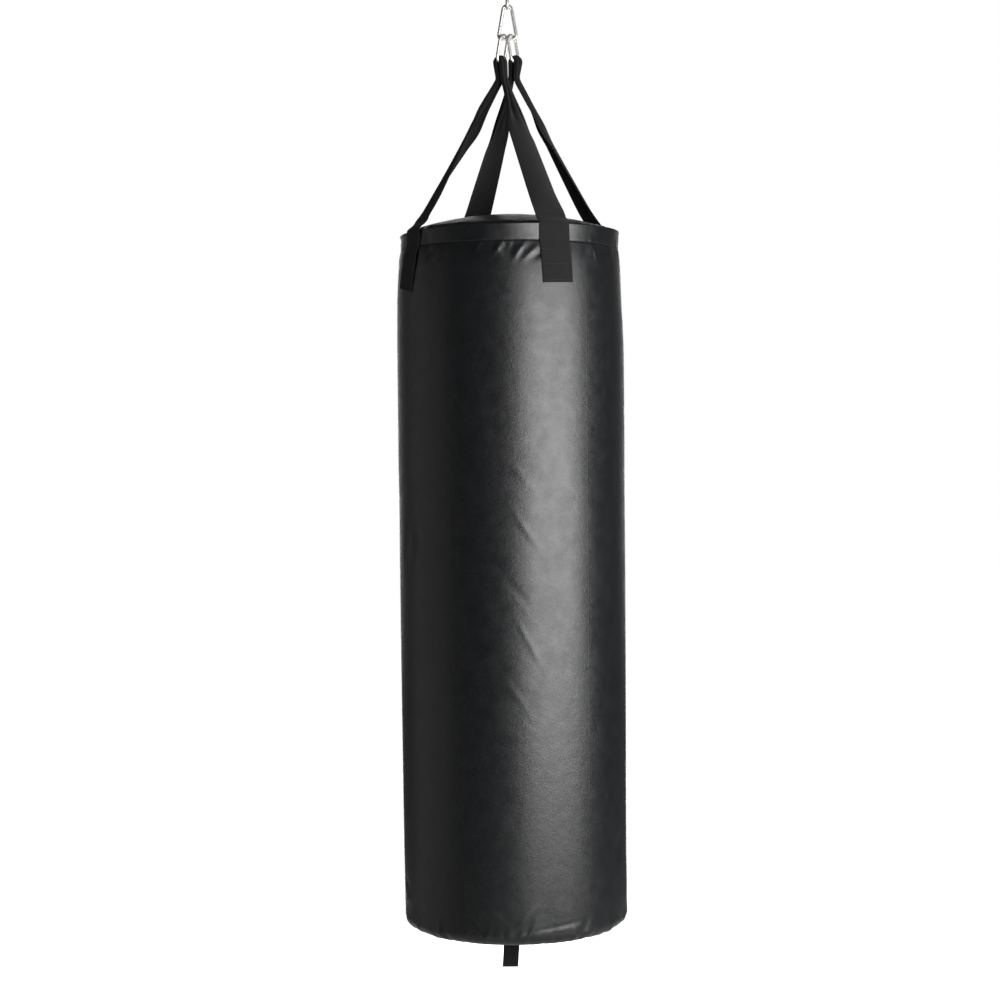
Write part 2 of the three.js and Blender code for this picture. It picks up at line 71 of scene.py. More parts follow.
wall_low, wall_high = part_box("cover_wall")
BAG_RADIUS = wall_high.x
RIM_Z = wall_high.z
BASE_Z = wall_low.z
WALL_HEIGHT = RIM_Z - BASE_Z
BASE_CROWN = BASE_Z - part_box("base_panel")[0].z
LID_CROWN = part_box("lid_panel_front")[1].z - RIM_Z

dome_centre_z = joints["zip_travel"]["pos_m"][2]
DOME_RADIUS = RIM_Z + LID_CROWN - dome_centre_z
DOME_CENTRE = np.array([0, 0, dome_centre_z])
across_x, across_y, _ = joints["zip_travel"]["axis"]
ZIP_ALONG = np.array([across_y, -across_x, 0.0])
ZIP_ACROSS = np.array([across_x, across_y, 0.0])

# ------------------------------------------------------------------ sizes of the soft goods

HEM_DEPTH = 25 * MM
RIM_TILT = 2 * MM  # the rim is this much higher at +X and lower at -X
HEM_RADIUS = BAG_RADIUS - 3.6 * MM  # at the hem's stitches, which pull the cover in
RIM_FLARE = 1.2 * MM
BELLY = 7.3 * MM  # how far the wall swells past the hem's stitches
BELLY_RISE = 40 * MM  # and over what depth
TAPER = 4.4 * MM  # how much less it swells at the base
HEM_THICKNESS = 2.6 * MM
COVER_THICKNESS = 2.2 * MM
PANEL_THICKNESS = 1.4 * MM  # of the lid and the base
BASE_TUCK_HEIGHT = 13 * MM  # height of the rounded edge above the base
TUCK_LENGTH = 33 * MM  # length of cover that goes round that edge
SEAM_RADIUS = 149 * MM  # where the wall is sewn to the base panel
SEAM_SAG = 4.8 * MM  # how far that seam hangs below the foot of the wall
SIDE_LIFT = 4.5 * MM  # how far the edge of the base rises at the sides, and sags in front
FRONT_SAG = 1.8 * MM
LIFT_REACH = 40 * MM  # how far up the wall the lift and the sag are felt
SEAM_AZIMUTH = math.radians(40)

WEBBING_WIDTH = 50 * MM
WEBBING_THICKNESS = 1.5 * MM
SEWN_LENGTHS = (89 * MM, 91 * MM)
STRAP_AZIMUTHS = (math.radians(24), math.radians(-66))
FRONT_LEANS = (math.radians(-1), math.radians(6))  # how far each strap end is off upright at the rim
REAR_LEANS = (math.radians(-1), math.radians(3))
CUPPED_SHARE = 0.95  # width of a free leg, as a share of the flat webbing's
BUNCH_SHARE = 0.27  # and of the bunched webbing


def smooth(value, low=0.0, high=1.0):
    t = np.clip((value - low) / (high - low), 0, 1)
    return t * t * (3 - 2 * t)


def outward(azimuth):
    return np.array([math.sin(azimuth), -math.cos(azimuth), 0.0])


# ------------------------------------------------------------------ mesh helpers


def grid_faces(rows, columns, wrap_rows=False, wrap_columns=False):
    row = np.arange(rows if wrap_rows else rows - 1)[:, None]
    column = np.arange(columns if wrap_columns else columns - 1)[None, :]
    next_row = (row + 1) % rows
    next_column = (column + 1) % columns
    corners = (
        row * columns + column,
        row * columns + next_column,
        next_row * columns + next_column,
        next_row * columns + column,
    )
    return np.stack([np.broadcast_to(c, corners[0].shape) for c in corners], -1).reshape(-1, 4)


def sheet_faces(rows, columns, wrap_columns=False):
    """Faces of a thin closed sheet: its top grid, then its bottom grid, and the strips between."""
    count = rows * columns
    top = grid_faces(rows, columns, wrap_columns=wrap_columns)
    faces = [top, top[:, ::-1] + count]
    ends = grid_faces(2, columns, wrap_columns=wrap_columns)
    for first_row in (0, rows - 1):
        shift = first_row * columns
        strip = np.where(ends < columns, ends + shift, ends - columns + shift + count)
        faces.append(strip if first_row else strip[:, ::-1])
    if not wrap_columns:
        for column in (0, columns - 1):
            near = np.arange(rows - 1) * columns + column
            strip = np.stack([near, near + columns, near + columns + count, near + count], -1)
            faces.append(strip)
    return np.concatenate(faces)


def make_piece(name, points, faces, body, slot, material, replaced=(), weave=None):
    mesh = bpy.data.meshes.new(name)
    mesh.from_pydata(np.asarray(points).reshape(-1, 3).tolist(), [], [list(f) for f in faces])
    if weave is not None:
        attribute = mesh.attributes.new("weave", "FLOAT_VECTOR", "POINT")
        attribute.data.foreach_set("vector", np.asarray(weave, np.float32).ravel())
    work = bmesh.new()
    work.from_mesh(mesh)
    bmesh.ops.recalc_face_normals(work, faces=work.faces)
    work.to_mesh(mesh)
    work.free()
    mesh.shade_smooth()
    mesh.materials.append(material)
    piece = bpy.data.objects.new(name, mesh)
    bpy.context.scene.collection.objects.link(piece)
    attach(piece, body)
    if replaced:
        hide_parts(*replaced)
    return piece


def make_sheet(name, top, bottom, body, slot, material, replaced, wrap_columns=False, weave=None):
    """A piece from the two skins of a thin closed sheet. Both skins share one weave."""
    points = np.concatenate([top.reshape(-1, 3), bottom.reshape(-1, 3)])
    faces = sheet_faces(*top.shape[:2], wrap_columns=wrap_columns)
    if weave is not None:
        weave = np.concatenate([weave.reshape(-1, 3)] * 2)
    return make_piece(name, points, faces, body, slot, material, replaced, weave)


def distances_along(line):
    """How far each point of a line is from its first point, along the line."""
    steps = np.linalg.norm(np.diff(line, axis=0), axis=1)
    return np.concatenate([[0], np.cumsum(steps)])


def points_along(line, travelled, spots):
    """Points of a line at the given distances along it."""
    return np.stack([np.interp(spots, travelled, line[:, k]) for k in range(line.shape[1])], -1)


def unit(vectors):
    return vectors / np.linalg.norm(vectors, axis=-1, keepdims=True)


# ------------------------------------------------------------------ materials


class Finish:
    """A Principled material and the few nodes that colour it and give it relief."""

    def __init__(self, name, **settings):
        self.material = bpy.data.materials.new(name)
        self.material.use_nodes = True
        self.tree = self.material.node_tree
        self.shader = self.tree.nodes["Principled BSDF"]
        for socket, value in settings.items():
            self.shader.inputs[socket.replace("_", " ")].default_value = value

    def node(self, kind, links=(), **settings):
        made = self.tree.nodes.new("ShaderNode" + kind)
        inputs = {}
        for key, value in settings.items():
            if hasattr(made, key):
                setattr(made, key, value)
            else:
                inputs[key.replace("_", " ")] = value
        for key, value in inputs.items():
            made.inputs[key].default_value = value
        for socket, source in dict(links).items():
            self.tree.links.new(source, made.inputs[socket])
        return made

    def place(self):
        return self.node("TexCoord").outputs["Object"]

    def noise(self, scale, detail):
        links = {"Vector": self.place()}
        return self.node("TexNoise", links, Scale=scale, Detail=detail, Roughness=0.55).outputs["Fac"]

    def cells(self, scale):
        return self.node("TexVoronoi", {"Vector": self.place()}, Scale=scale).outputs["Distance"]

    def ramp(self, source, low, high, at_low=0.0, at_high=1.0):
        made = self.node("MapRange", {"Value": source})
        for socket, value in zip(("From Min", "From Max", "To Min", "To Max"), (low, high, at_low, at_high)):
            made.inputs[socket].default_value = value
        return made.outputs["Result"]

    def maths(self, operation, first, second):
        made = self.node("Math", operation=operation)
        for socket, value in zip(made.inputs, (first, second)):
            if isinstance(value, (int, float)):
                socket.default_value = value
            else:
                self.tree.links.new(value, socket)
        return made.outputs["Value"]

    def wave(self, source, pitch):
        return self.maths("SINE", self.maths("MULTIPLY", source, 2 * math.pi / pitch), 0)

    def tint(self, source, first, second):
        made = self.node("Mix", {"Factor": source}, data_type="RGBA")
        for socket, value in zip([s for s in made.inputs if s.type == "RGBA"], (first, second)):
            socket.default_value = (*value, 1)
        colour = [s for s in made.outputs if s.type == "RGBA"][0]
        self.tree.links.new(colour, self.shader.inputs["Base Color"])
        return self

    def rough(self, source, low, high):
        self.tree.links.new(self.ramp(source, 0.3, 0.7, low, high), self.shader.inputs["Roughness"])
        return self

    def relief(self, *layers):
        """Stacks bumps, each a height source and its depth in metres."""
        normal = None
        for source, depth in layers:
            bump = self.node("Bump", {"Height": source}, Distance=depth)
            if normal:
                self.tree.links.new(normal, bump.inputs["Normal"])
            normal = bump.outputs["Normal"]
        self.tree.links.new(normal, self.shader.inputs["Normal"])
        return self


def leather(name, dark, light, low_rough, high_rough):
    finish = Finish(name, Specular_IOR_Level=0.5)
    patches = finish.noise(14, detail=4)
    finish.tint(patches, dark, light)
    finish.rough(finish.noise(45, detail=5), low_rough, high_rough)
    grain = finish.cells(780)
    pores = finish.noise(2600, detail=2)
    backing = finish.noise(430, detail=3)
    waves = finish.noise(70, detail=2)
    return finish.relief(
        (waves, 0.3 * MM), (backing, 0.12 * MM), (grain, 0.08 * MM), (pores, 0.02 * MM)
    ).material


def webbing(name, ribs, picks, dark, light):
    """Woven tape. Its weave attribute runs across and along it, in metres."""
    finish = Finish(name, Roughness=0.86, Specular_IOR_Level=0.32, Sheen_Weight=0.06, Sheen_Roughness=0.5)
    place = finish.node("Attribute", attribute_type="GEOMETRY", attribute_name="weave").outputs["Vector"]
    split = finish.node("SeparateXYZ", {"Vector": place})
    wave_across = finish.wave(split.outputs["X"], ribs)
    wave_along = finish.wave(split.outputs["Y"], picks)
    woven = finish.maths("MULTIPLY", wave_across, wave_along)
    ribbed = finish.maths("ADD", finish.maths("MULTIPLY", wave_along, 0.5), woven)
    fibres = finish.noise(3200, detail=3)
    wear = finish.noise(60, detail=4)
    # Painted shade: the colour follows the same height as the bump, darker in the grooves of the weave and
    # lighter on its raised ribs, and the wear noise varies it.
    finish.tint(finish.maths("MULTIPLY", finish.ramp(ribbed, -1.5, 1.5), wear), dark, light)
    return finish.relief((finish.ramp(ribbed, -1.5, 1.5), 0.35 * MM), (fibres, 0.08 * MM)).material


def zinc(name, low_rough, high_rough, dark, light):
    finish = Finish(name, Metallic=0.82)
    finish.tint(finish.noise(160, detail=5), dark, light)
    finish.rough(finish.noise(420, detail=4), low_rough, high_rough)
    return finish.relief((finish.noise(900, detail=3), 0.03 * MM)).material


def moulded(name, dark, light, roughness):
    finish = Finish(name, Specular_IOR_Level=0.5)
    finish.tint(finish.noise(300, detail=3), dark, light)
    finish.rough(finish.noise(500, detail=3), roughness - 0.05, roughness + 0.05)
    return finish.relief((finish.noise(1500, detail=2), 0.02 * MM)).material


def woven_cloth(name, dark, light, pitch):
    """A plain weave that follows the object's own axes."""
    finish = Finish(name, Roughness=0.9, Specular_IOR_Level=0.2, Sheen_Weight=0.1)
    split = finish.node("SeparateXYZ", {"Vector": finish.place()})
    level = finish.maths("ADD", split.outputs["X"], split.outputs["Y"])
    across = finish.wave(level, pitch)
    along = finish.wave(split.outputs["Z"], pitch)
    threads = finish.maths("MULTIPLY", across, along)
    finish.tint(finish.noise(120, detail=4), dark, light)
    return finish.relief((finish.ramp(threads, -1, 1), 0.15 * MM)).material


def felted(name, dark, light):
    finish = Finish(name, Roughness=0.95, Specular_IOR_Level=0.15)
    finish.tint(finish.noise(80, detail=6), dark, light)
    return finish.relief((finish.cells(420), 0.4 * MM), (finish.noise(1800, detail=3), 0.1 * MM)).material


COVER = leather("cover_leather", (0.0032, 0.0035, 0.004), (0.0062, 0.0067, 0.0076), 0.31, 0.42)
BACKING = leather("backing_leather", (0.02, 0.02, 0.021), (0.035, 0.035, 0.037), 0.5, 0.6)
STRAP = webbing("strap_webbing", 1.9 * MM, 1.3 * MM, (0.0015, 0.0014, 0.0015), (0.0095, 0.009, 0.0095))
TAPE = woven_cloth("zip_tape_cloth", (0.006, 0.006, 0.0065), (0.014, 0.014, 0.015), 0.9 * MM)
STEEL = zinc("bright_zinc", 0.26, 0.4, (0.62, 0.61, 0.58), (0.86, 0.85, 0.82))
ZIP_METAL = zinc("zip_casting", 0.24, 0.4, (0.33, 0.33, 0.34), (0.55, 0.56, 0.57))
COIL = moulded("zip_coil", (0.009, 0.009, 0.01), (0.018, 0.018, 0.019), 0.45)
THREAD = moulded("sewing_thread", (0.006, 0.006, 0.0065), (0.013, 0.013, 0.014), 0.6)
LINING = woven_cloth("lining_cloth", (0.09, 0.1, 0.11), (0.14, 0.15, 0.16), 1.4 * MM)
FOAM = felted("felted_foam", (0.5, 0.48, 0.43), (0.62, 0.6, 0.54))
FILLING = felted("textile_offcuts", (0.1, 0.095, 0.11), (0.24, 0.22, 0.25))

# ------------------------------------------------------------------ shape of the stuffed wall


def profile_radius(depth):
    """The wall's outer radius without its creases: a flared hem, its pulled-in stitches, a full belly."""
    hem = HEM_RADIUS + RIM_FLARE * np.maximum(1 - depth / HEM_DEPTH, 0) ** 1.5
    below = np.maximum(depth - HEM_DEPTH, 0)
    belly = BELLY * (1 - np.exp(-below / BELLY_RISE)) - TAPER * (depth / WALL_HEIGHT) ** 2
    stitch_groove = 0.5 * MM * np.exp(-(((depth - HEM_DEPTH) / (1.6 * MM)) ** 2))
    return np.where(depth < HEM_DEPTH, hem, HEM_RADIUS + belly) - stitch_groove


def dimple(azimuth, depth, at, size, lean, height):
    """One soft dent or ridge. `at` is its azimuth and depth, `size` its half width and half length."""
    turned = (azimuth - at[0] + math.pi) % (2 * math.pi) - math.pi
    side = BAG_RADIUS * turned
    down = depth - at[1]
    u = (side * math.cos(lean) + down * math.sin(lean)) / size[0]
    v = (down * math.cos(lean) - side * math.sin(lean)) / size[1]
    return height * np.exp(-u * u - v * v)


def puckers(count, jitter, seam_depth, below, half_widths, half_lengths, lean, heights):
    """Short slanting gathers beside a seam, nearly even round the bag. Each pair is a range in mm."""
    made = []
    for i in range(count):
        azimuth = 2 * math.pi * (i + random.uniform(-jitter, jitter)) / count
        depth = seam_depth + random.uniform(*below) * MM
        size = (random.uniform(*half_widths) * MM, random.uniform(*half_lengths) * MM)
        height = random.choice([-1, 1]) * random.uniform(*heights) * MM
        made.append(((azimuth, depth), size, random.uniform(-lean, lean), height))
    return made


def hem_puckers():
    return puckers(46, 0.35, HEM_DEPTH, (8, 14), (3.2, 5.5), (8, 15), 0.7, (0.4, 1.1))


def base_puckers():
    """Where the wall is tucked under and sewn to the base panel."""
    return puckers(50, 0.4, WALL_HEIGHT, (-12, 16), (3.5, 7.5), (11, 24), 0.5, (0.7, 1.9))


def soft_lumps():
    """Wide, low unevenness of the filling."""
    made = []
    for _ in range(70):
        at = (random.uniform(0, 2 * math.pi), random.uniform(0.06, WALL_HEIGHT))
        size = (random.uniform(22, 60) * MM, random.uniform(30, 110) * MM)
        made.append((at, size, random.uniform(-0.5, 0.5), random.uniform(-0.55, 0.55) * MM))
    return made


def named_creases():
    """Creases that have a place of their own, as degrees and millimetres below the rim."""
    entries = [
        # azimuth, depth, half width, half length, lean, height
        (-6, 37, 3.4, 12, 0.6, 1.7),
        (1, 37, 3.6, 10, 0.3, -1.1),
        (5, 39, 3.8, 14, 0.6, 1.8),
        (11, 42, 3.8, 15, 0.8, 1.5),
        (15, 46, 4.0, 10, 0.9, -1.2),
        (48, 40, 3.5, 13, -0.3, 1.2),
        (60, 52, 4.0, 15, -0.5, -1.1),
        (-54, 12, 3.6, 22, -0.1, 1.7),
        (-47, 15, 6.0, 20, -0.1, -1.4),
        (90, 95, 60, 55, 0, -2.6),
        (-62, 486, 15, 27, 0.1, -3.2),
        (-82, 3, 40, 9, 0, -2.2),
        (4, 379, 2.6, 28, -0.75, 0.8),
        (7, 464, 2.8, 36, -0.6, 0.9),
        (2, 554, 2.6, 32, -0.7, -0.8),
        (8, 634, 3.0, 38, -0.5, 0.8),
        (1, 709, 2.8, 30, -0.65, 0.7),
        (66, 954, 16, 20, 0.3, -1.6),
        (-76, 1014, 14, 9, 0.2, -2.2),
        (-72, 1034, 16, 9, -0.1, 1.8),
        (-10, 1042, 4.5, 22, -0.9, 0.8),
        (4, 1046, 5.0, 26, 0.8, 0.9),
        (22, 1058, 2.4, 42, 1.45, -0.45),
        (24, 1064, 3.0, 44, 1.5, 0.35),
        (5, 1064, 3.2, 15, 0.5, -1.6),
        (-18, 1066, 3.0, 16, -0.8, 1.3),
        (-62, 1062, 3.0, 12, 0.1, 1.2),
    ]
    return [
        ((math.radians(azimuth), depth * MM), (width * MM, length * MM), lean, height * MM)
        for azimuth, depth, width, length, lean, height in entries
    ]


CREASES = hem_puckers() + base_puckers() + soft_lumps() + named_creases()


def crease_offset(azimuth, depth):
    """How far the creases, the vertical seam and the pull of the straps move the wall outward."""
    offset = sum(dimple(azimuth, depth, *crease) for crease in CREASES)
    side = BAG_RADIUS * (azimuth - SEAM_AZIMUTH)
    overlap = np.where(side > 0, np.exp(-side / (7 * MM)), np.exp(-((side / (0.7 * MM)) ** 2)))
    groove = np.exp(-(((side - 2.6 * MM) / (0.8 * MM)) ** 2))
    below_hem = smooth(depth, HEM_DEPTH, HEM_DEPTH + 8 * MM)
    offset = offset + (0.06 * overlap - 0.05 * groove) * MM * below_hem * (np.abs(side) < 40 * MM)
    for strap_azimuth in STRAP_AZIMUTHS:
        for turn in (0, math.pi):
            at = (strap_azimuth + turn, 0)
            offset = offset + dimple(azimuth, depth, at, (26 * MM, 30 * MM), 0, -1.3 * MM)
    return offset * smooth(depth, -2 * MM, 10 * MM)


def rim_tilt(azimuth, depth):
    return RIM_TILT * np.sin(azimuth) * np.clip(1 - depth / HEM_DEPTH, 0, 1)


def base_lift(azimuth):
    """The edge of the base sags a little in front, and sits higher at both sides."""
    return SIDE_LIFT * np.sin(azimuth) ** 4 - FRONT_SAG * np.maximum(np.cos(azimuth), 0)


def wall_radius(azimuth, depth):
    return profile_radius(depth) + crease_offset(azimuth, depth)


def wall_rows():
    """Each row of the wall: radius, height, direction of its creases, depth that they are read at."""
    rim_radius = float(profile_radius(0.0))
    fold = HEM_THICKNESS / 2
    rows = []

    for turn in np.linspace(math.pi, 0, 9):
        across = rim_radius - fold + fold * math.cos(turn)
        rows.append((across, RIM_Z - fold + fold * math.sin(turn), 1, 0, 0))

    tuck_depth = WALL_HEIGHT - BASE_TUCK_HEIGHT
    stretches = (
        (2, 21, 2.0),
        (21, 29, 0.6),
        (29, 80, 2.0),
        (80, 1003, 7.0),
        (1003, tuck_depth / MM - 0.5, 2.2),
    )
    for start, stop, step in stretches:
        for depth in np.arange(start, stop, step) * MM:
            rows.append((float(profile_radius(depth)), RIM_Z - depth, 1, 0, depth))

    tuck_width = float(profile_radius(tuck_depth)) - SEAM_RADIUS
    tuck_drop = BASE_TUCK_HEIGHT + SEAM_SAG
    def tuck_row(turn, inset):
        radius = SEAM_RADIUS + (tuck_width - inset) * math.sin(turn)
        height = BASE_Z + BASE_TUCK_HEIGHT - (tuck_drop - inset) * math.cos(turn)
        lean = math.hypot(math.sin(turn) / tuck_width, math.cos(turn) / tuck_drop)
        depth = tuck_depth + TUCK_LENGTH * (1 - turn / (math.pi / 2))
        return (
            radius,
            height,
            math.sin(turn) / tuck_width / lean,
            -math.cos(turn) / tuck_drop / lean,
            depth,
        )

    for turn in np.linspace(math.pi / 2, 0, 18):
        rows.append(tuck_row(turn, 0))
    seam_z = BASE_Z - SEAM_SAG
    end_depth = tuck_depth + TUCK_LENGTH
    for inward, up in ((0.7, 0.3), (1.2, 1.4), (1.3, 4.0)):
        rows.append((SEAM_RADIUS - inward * MM, seam_z + up * MM, 0, 0, end_depth))

    for turn in np.linspace(0.25, math.pi / 2, 7):
        rows.append(tuck_row(turn, COVER_THICKNESS))
    for depth in np.arange(1040, 60, -45) * MM:
        rows.append((float(profile_radius(depth)) - COVER_THICKNESS, RIM_Z - depth, 1, 0, depth))
    for depth in np.arange(46, 3, -6) * MM:
        rows.append((float(profile_radius(depth)) - HEM_THICKNESS, RIM_Z - depth, 1, 0, depth))
    return np.array(rows, dtype=float)


def wall_azimuths():
    """Even columns, with finer ones across the vertical seam."""
    even = np.linspace(0, 2 * math.pi, 432, endpoint=False)
    near_seam = SEAM_AZIMUTH + np.linspace(-5, 8, 27) * MM / BAG_RADIUS
    SPACING = 0.004
    kept = even[(even < near_seam[0] - SPACING) | (even > near_seam[-1] + SPACING)]
    return np.sort(np.concatenate([kept, near_seam]))


def build_cover_wall():
    rows = wall_rows()
    azimuths = wall_azimuths()
    radius, height, side, down, depth = (rows[:, i][:, None] for i in range(5))
    offset = crease_offset(azimuths[None, :], depth)
    out = radius + side * offset
    z = height + down * offset + rim_tilt(azimuths[None, :], depth) * (side > 0)
    z = z + base_lift(azimuths[None, :]) * smooth(depth, WALL_HEIGHT - LIFT_REACH, WALL_HEIGHT)
    points = np.stack(
        [out * np.sin(azimuths), -out * np.cos(azimuths), np.broadcast_to(z, out.shape)], -1
    )
    faces = grid_faces(len(rows), len(azimuths), wrap_rows=True, wrap_columns=True)
    wall = make_piece("cover_wall_skin", points, faces, "bag", "cover", COVER, ["cover_wall"])
    return wall


# ------------------------------------------------------------------ base and lid


def polar_sheet(radii, azimuths, height, thickness):
    """Top and bottom grids of a round panel. `height` gives z from radius and azimuth."""
    radius, azimuth = np.meshgrid(radii, azimuths, indexing="ij")
    z = height(radius, azimuth)
    top = np.stack([radius * np.sin(azimuth), -radius * np.cos(azimuth), z], -1)
    bottom = top - np.array([0, 0, thickness])
    return top, bottom


def base_height(radius):
    """The underside: a shallow crown that ends at the seam."""
    return BASE_Z - BASE_CROWN + (BASE_CROWN - SEAM_SAG) * (radius / SEAM_RADIUS) ** 2


def build_base_panel():
    """A round panel with a gathered edge that is turned up into the seam."""
    ripples = [
        (random.integers(14, 46), random.uniform(0, 6.28), random.uniform(0.1, 0.3)) for _ in range(7)
    ]

    def height(radius, azimuth):
        near_seam = smooth(radius, SEAM_RADIUS - 45 * MM, SEAM_RADIUS)
        waves = sum(size * MM * np.sin(count * azimuth + phase) for count, phase, size in ripples)
        turned_up = 2.6 * MM * smooth(radius, SEAM_RADIUS - 4.5 * MM, SEAM_RADIUS - 1.4 * MM)
        edge_lift = base_lift(azimuth) * (radius / SEAM_RADIUS) ** 3
        return base_height(radius) + edge_lift + near_seam * waves + turned_up + PANEL_THICKNESS

    centre = np.array([0.5]) * MM
    radii = np.concatenate([centre, np.arange(8, 140, 6) * MM, np.arange(140, 147.7, 0.7) * MM])
    azimuths = np.linspace(0, 2 * math.pi, 288, endpoint=False)
    top, bottom = polar_sheet(radii, azimuths, height, PANEL_THICKNESS)
    return make_sheet("base_panel_skin", top, bottom, "bag", "cover", COVER, ["base_panel"], True)


LID_EDGE = float(profile_radius(0.0)) - HEM_THICKNESS - 0.6 * MM
ZIP_HALF_LENGTH = 120 * MM
ZIP_HALF_SLOT = 5.2 * MM
LID_PUCKERS = [
    (
        random.uniform(0, 2 * math.pi),
        random.uniform(1.6, 3.4),
        random.choice([-1, 1]) * random.uniform(0.4, 1.3),
    )
    for _ in range(64)
]


def lid_plan(along, across):
    """X and Y of a place given along the zip and across it."""
    x = along * ZIP_ALONG[0] + across * ZIP_ACROSS[0]
    y = along * ZIP_ALONG[1] + across * ZIP_ACROSS[1]
    return x, y


def lid_height(x, y):
    """The stuffed lid: a dome, tucked in and gathered where it meets the hem."""
    radius = np.hypot(x, y)
    azimuth = np.arctan2(x, -y)
    dome = dome_centre_z + np.sqrt(DOME_RADIUS**2 - np.minimum(radius, LID_EDGE) ** 2)
    tuck = 4.5 * MM * smooth(radius, LID_EDGE - 16 * MM, LID_EDGE) ** 1.5
    puckers = 0
    for at, width, height in LID_PUCKERS:
        turned = (azimuth - at + math.pi) % (2 * math.pi) - math.pi
        puckers = puckers + height * MM * np.exp(-((turned / math.radians(width)) ** 2))
    near_edge = smooth(radius, LID_EDGE - 34 * MM, LID_EDGE - 4 * MM)
    return dome - tuck + puckers * near_edge - 0.3 * MM


def build_lid_panel(name, cad_node, side):
    """One half of the lid. `side` is -1 for the half in front of the zip, 1 for the rear one."""
    END_ANGLE = 0.012  # keeps the two halves of the lid apart at the rim
    turns = np.linspace(END_ANGLE, math.pi - END_ANGLE, 181)
    run = np.cos(turns)
    outer = np.stack([LID_EDGE * run, LID_EDGE * np.sin(turns)], -1)
    slot_reach = (ZIP_HALF_LENGTH + 38 * MM) * run
    past_zip = smooth(np.abs(slot_reach), ZIP_HALF_LENGTH - 2 * MM, ZIP_HALF_LENGTH + 3 * MM)
    slot_side = ZIP_HALF_SLOT + (0.35 * MM - ZIP_HALF_SLOT) * past_zip
    inner = np.stack([slot_reach, slot_side], -1)

    shares = np.concatenate([np.linspace(0, 0.06, 9), np.linspace(0.075, 0.7, 26), np.linspace(0.72, 1, 24)])
    plan = inner[None] + (outer - inner)[None] * shares[:, None, None]
    x, y = lid_plan(plan[..., 0], side * plan[..., 1])
    z = lid_height(x, y)
    from_slot = plan[..., 1] - slot_side[None, :]
    folded_edge = 0.9 * MM * np.exp(-((from_slot / (3.2 * MM)) ** 2))
    rolled = 1.1 * MM * np.exp(-((from_slot / (0.7 * MM)) ** 2))
    stitch_groove = 0.45 * MM * np.exp(-(((from_slot - 4.2 * MM) / (0.9 * MM)) ** 2))
    z = z + folded_edge - rolled - stitch_groove
    top = np.stack([x, y, z], -1)

    flange = []
    for drop in (2, 5, 9):
        ring = top[-1].copy()
        ring[:, 2] -= drop * MM
        flange.append(ring)
    top = np.concatenate([top, np.array(flange)])
    bottom = top - PANEL_THICKNESS * unit(top - DOME_CENTRE)
    panel = make_sheet(name, top, bottom, "bag", "cover", COVER, [cad_node])
    return panel


# ------------------------------------------------------------------ stitches and zip


def tube_points(path, radius, sides):
    """Rings of points round a path of 3-D points."""
    path = np.asarray(path)
    along = unit(np.gradient(path, axis=0))
    off_axis = np.array([0.31, 0.52, 0.79])  # no path runs along this
    first = unit(np.cross(along, off_axis))
    second = np.cross(along, first)
    turn = np.linspace(0, 2 * math.pi, sides, endpoint=False)
    radius = np.broadcast_to(radius, len(path))
    return (
        path[:, None]
        + radius[:, None, None] * np.cos(turn)[None, :, None] * first[:, None]
        + radius[:, None, None] * np.sin(turn)[None, :, None] * second[:, None]
    )


def capped_tube(path, radius, sides, start):
    """Points and faces of a closed tube, its faces counted from `start`."""
    rings = tube_points(path, radius, sides)
    count = len(path)
    faces = [list(face + start) for face in grid_faces(count, sides, wrap_columns=True)]
    faces.append([start + i for i in range(sides)][::-1])
    faces.append([start + (count - 1) * sides + i for i in range(sides)])
    return rings.reshape(-1, 3), faces


def short_tubes(paths, radius):
    """Points and faces of many small closed tubes in one mesh."""
    points, faces = [], []
    total = 0
    for path in paths:
        made, sides = capped_tube(path, radius, 6, total)
        points.append(made)
        faces.extend(sides)
        total += len(made)
    return np.concatenate(points), faces


STITCH_RADIUS = 0.42 * MM
STITCH_SHARES = np.array([0.08, 0.24, 0.5, 0.76, 0.92])  # of its length, from hole to hole
STITCH_LIFTS = np.array([-0.5, 0.14, 0.3, 0.14, -0.5]) * MM


def stitch_runs(name, runs, pitch):
    """Sewn stitches. A run is a path of points and the outward directions of the cloth there."""
    paths = []
    for path, out in runs:
        path, out = np.asarray(path), np.asarray(out)
        travelled = distances_along(path)
        count = max(1, round(travelled[-1] / pitch))
        for i in range(count):
            places = (i + STITCH_SHARES) / count * travelled[-1]
            lifts = points_along(out, travelled, places)
            paths.append(points_along(path, travelled, places) + lifts * STITCH_LIFTS[:, None])
    return make_piece(name, *short_tubes(paths, STITCH_RADIUS), "bag", "webbing", THREAD)


RING = np.linspace(0, 2 * math.pi, 721)


def ring_run(radius, z, outward_share):
    """A path round the bag, from a radius and a height that may differ along RING."""
    radius, z = np.broadcast_to(radius, RING.shape), np.broadcast_to(z, RING.shape)
    path = np.stack([radius * np.sin(RING), -radius * np.cos(RING), z], -1)
    out = [outward_share * np.sin(RING), -outward_share * np.cos(RING), np.full(len(RING), outward_share - 1)]
    return path, np.stack(out, -1)


def build_hem_stitches():
    run = ring_run(wall_radius(RING, HEM_DEPTH) + 0.1 * MM, RIM_Z - HEM_DEPTH, 1)
    return stitch_runs("hem_stitches", [run], 4.2 * MM)


def build_base_stitches():
    radius = SEAM_RADIUS - 7 * MM
    lift = base_lift(RING) * (radius / SEAM_RADIUS) ** 3
    run = ring_run(radius, base_height(radius) + lift - 0.1 * MM, 0)
    return stitch_runs("base_stitches", [run], 4.2 * MM)


def build_zip_stitches():
    along = np.linspace(-ZIP_HALF_LENGTH - 2 * MM, ZIP_HALF_LENGTH + 2 * MM, 90)
    runs = []
    for side in (-1, 1):
        across = np.full_like(along, side * (ZIP_HALF_SLOT + 4.2 * MM))
        x, y = lid_plan(along, across)
        path = np.stack([x, y, lid_height(x, y) + 0.1 * MM], -1)
        runs.append((path, unit(path - DOME_CENTRE)))
    return stitch_runs("zip_stitches", runs, 3.4 * MM)


COIL_RADIUS = 0.46 * MM


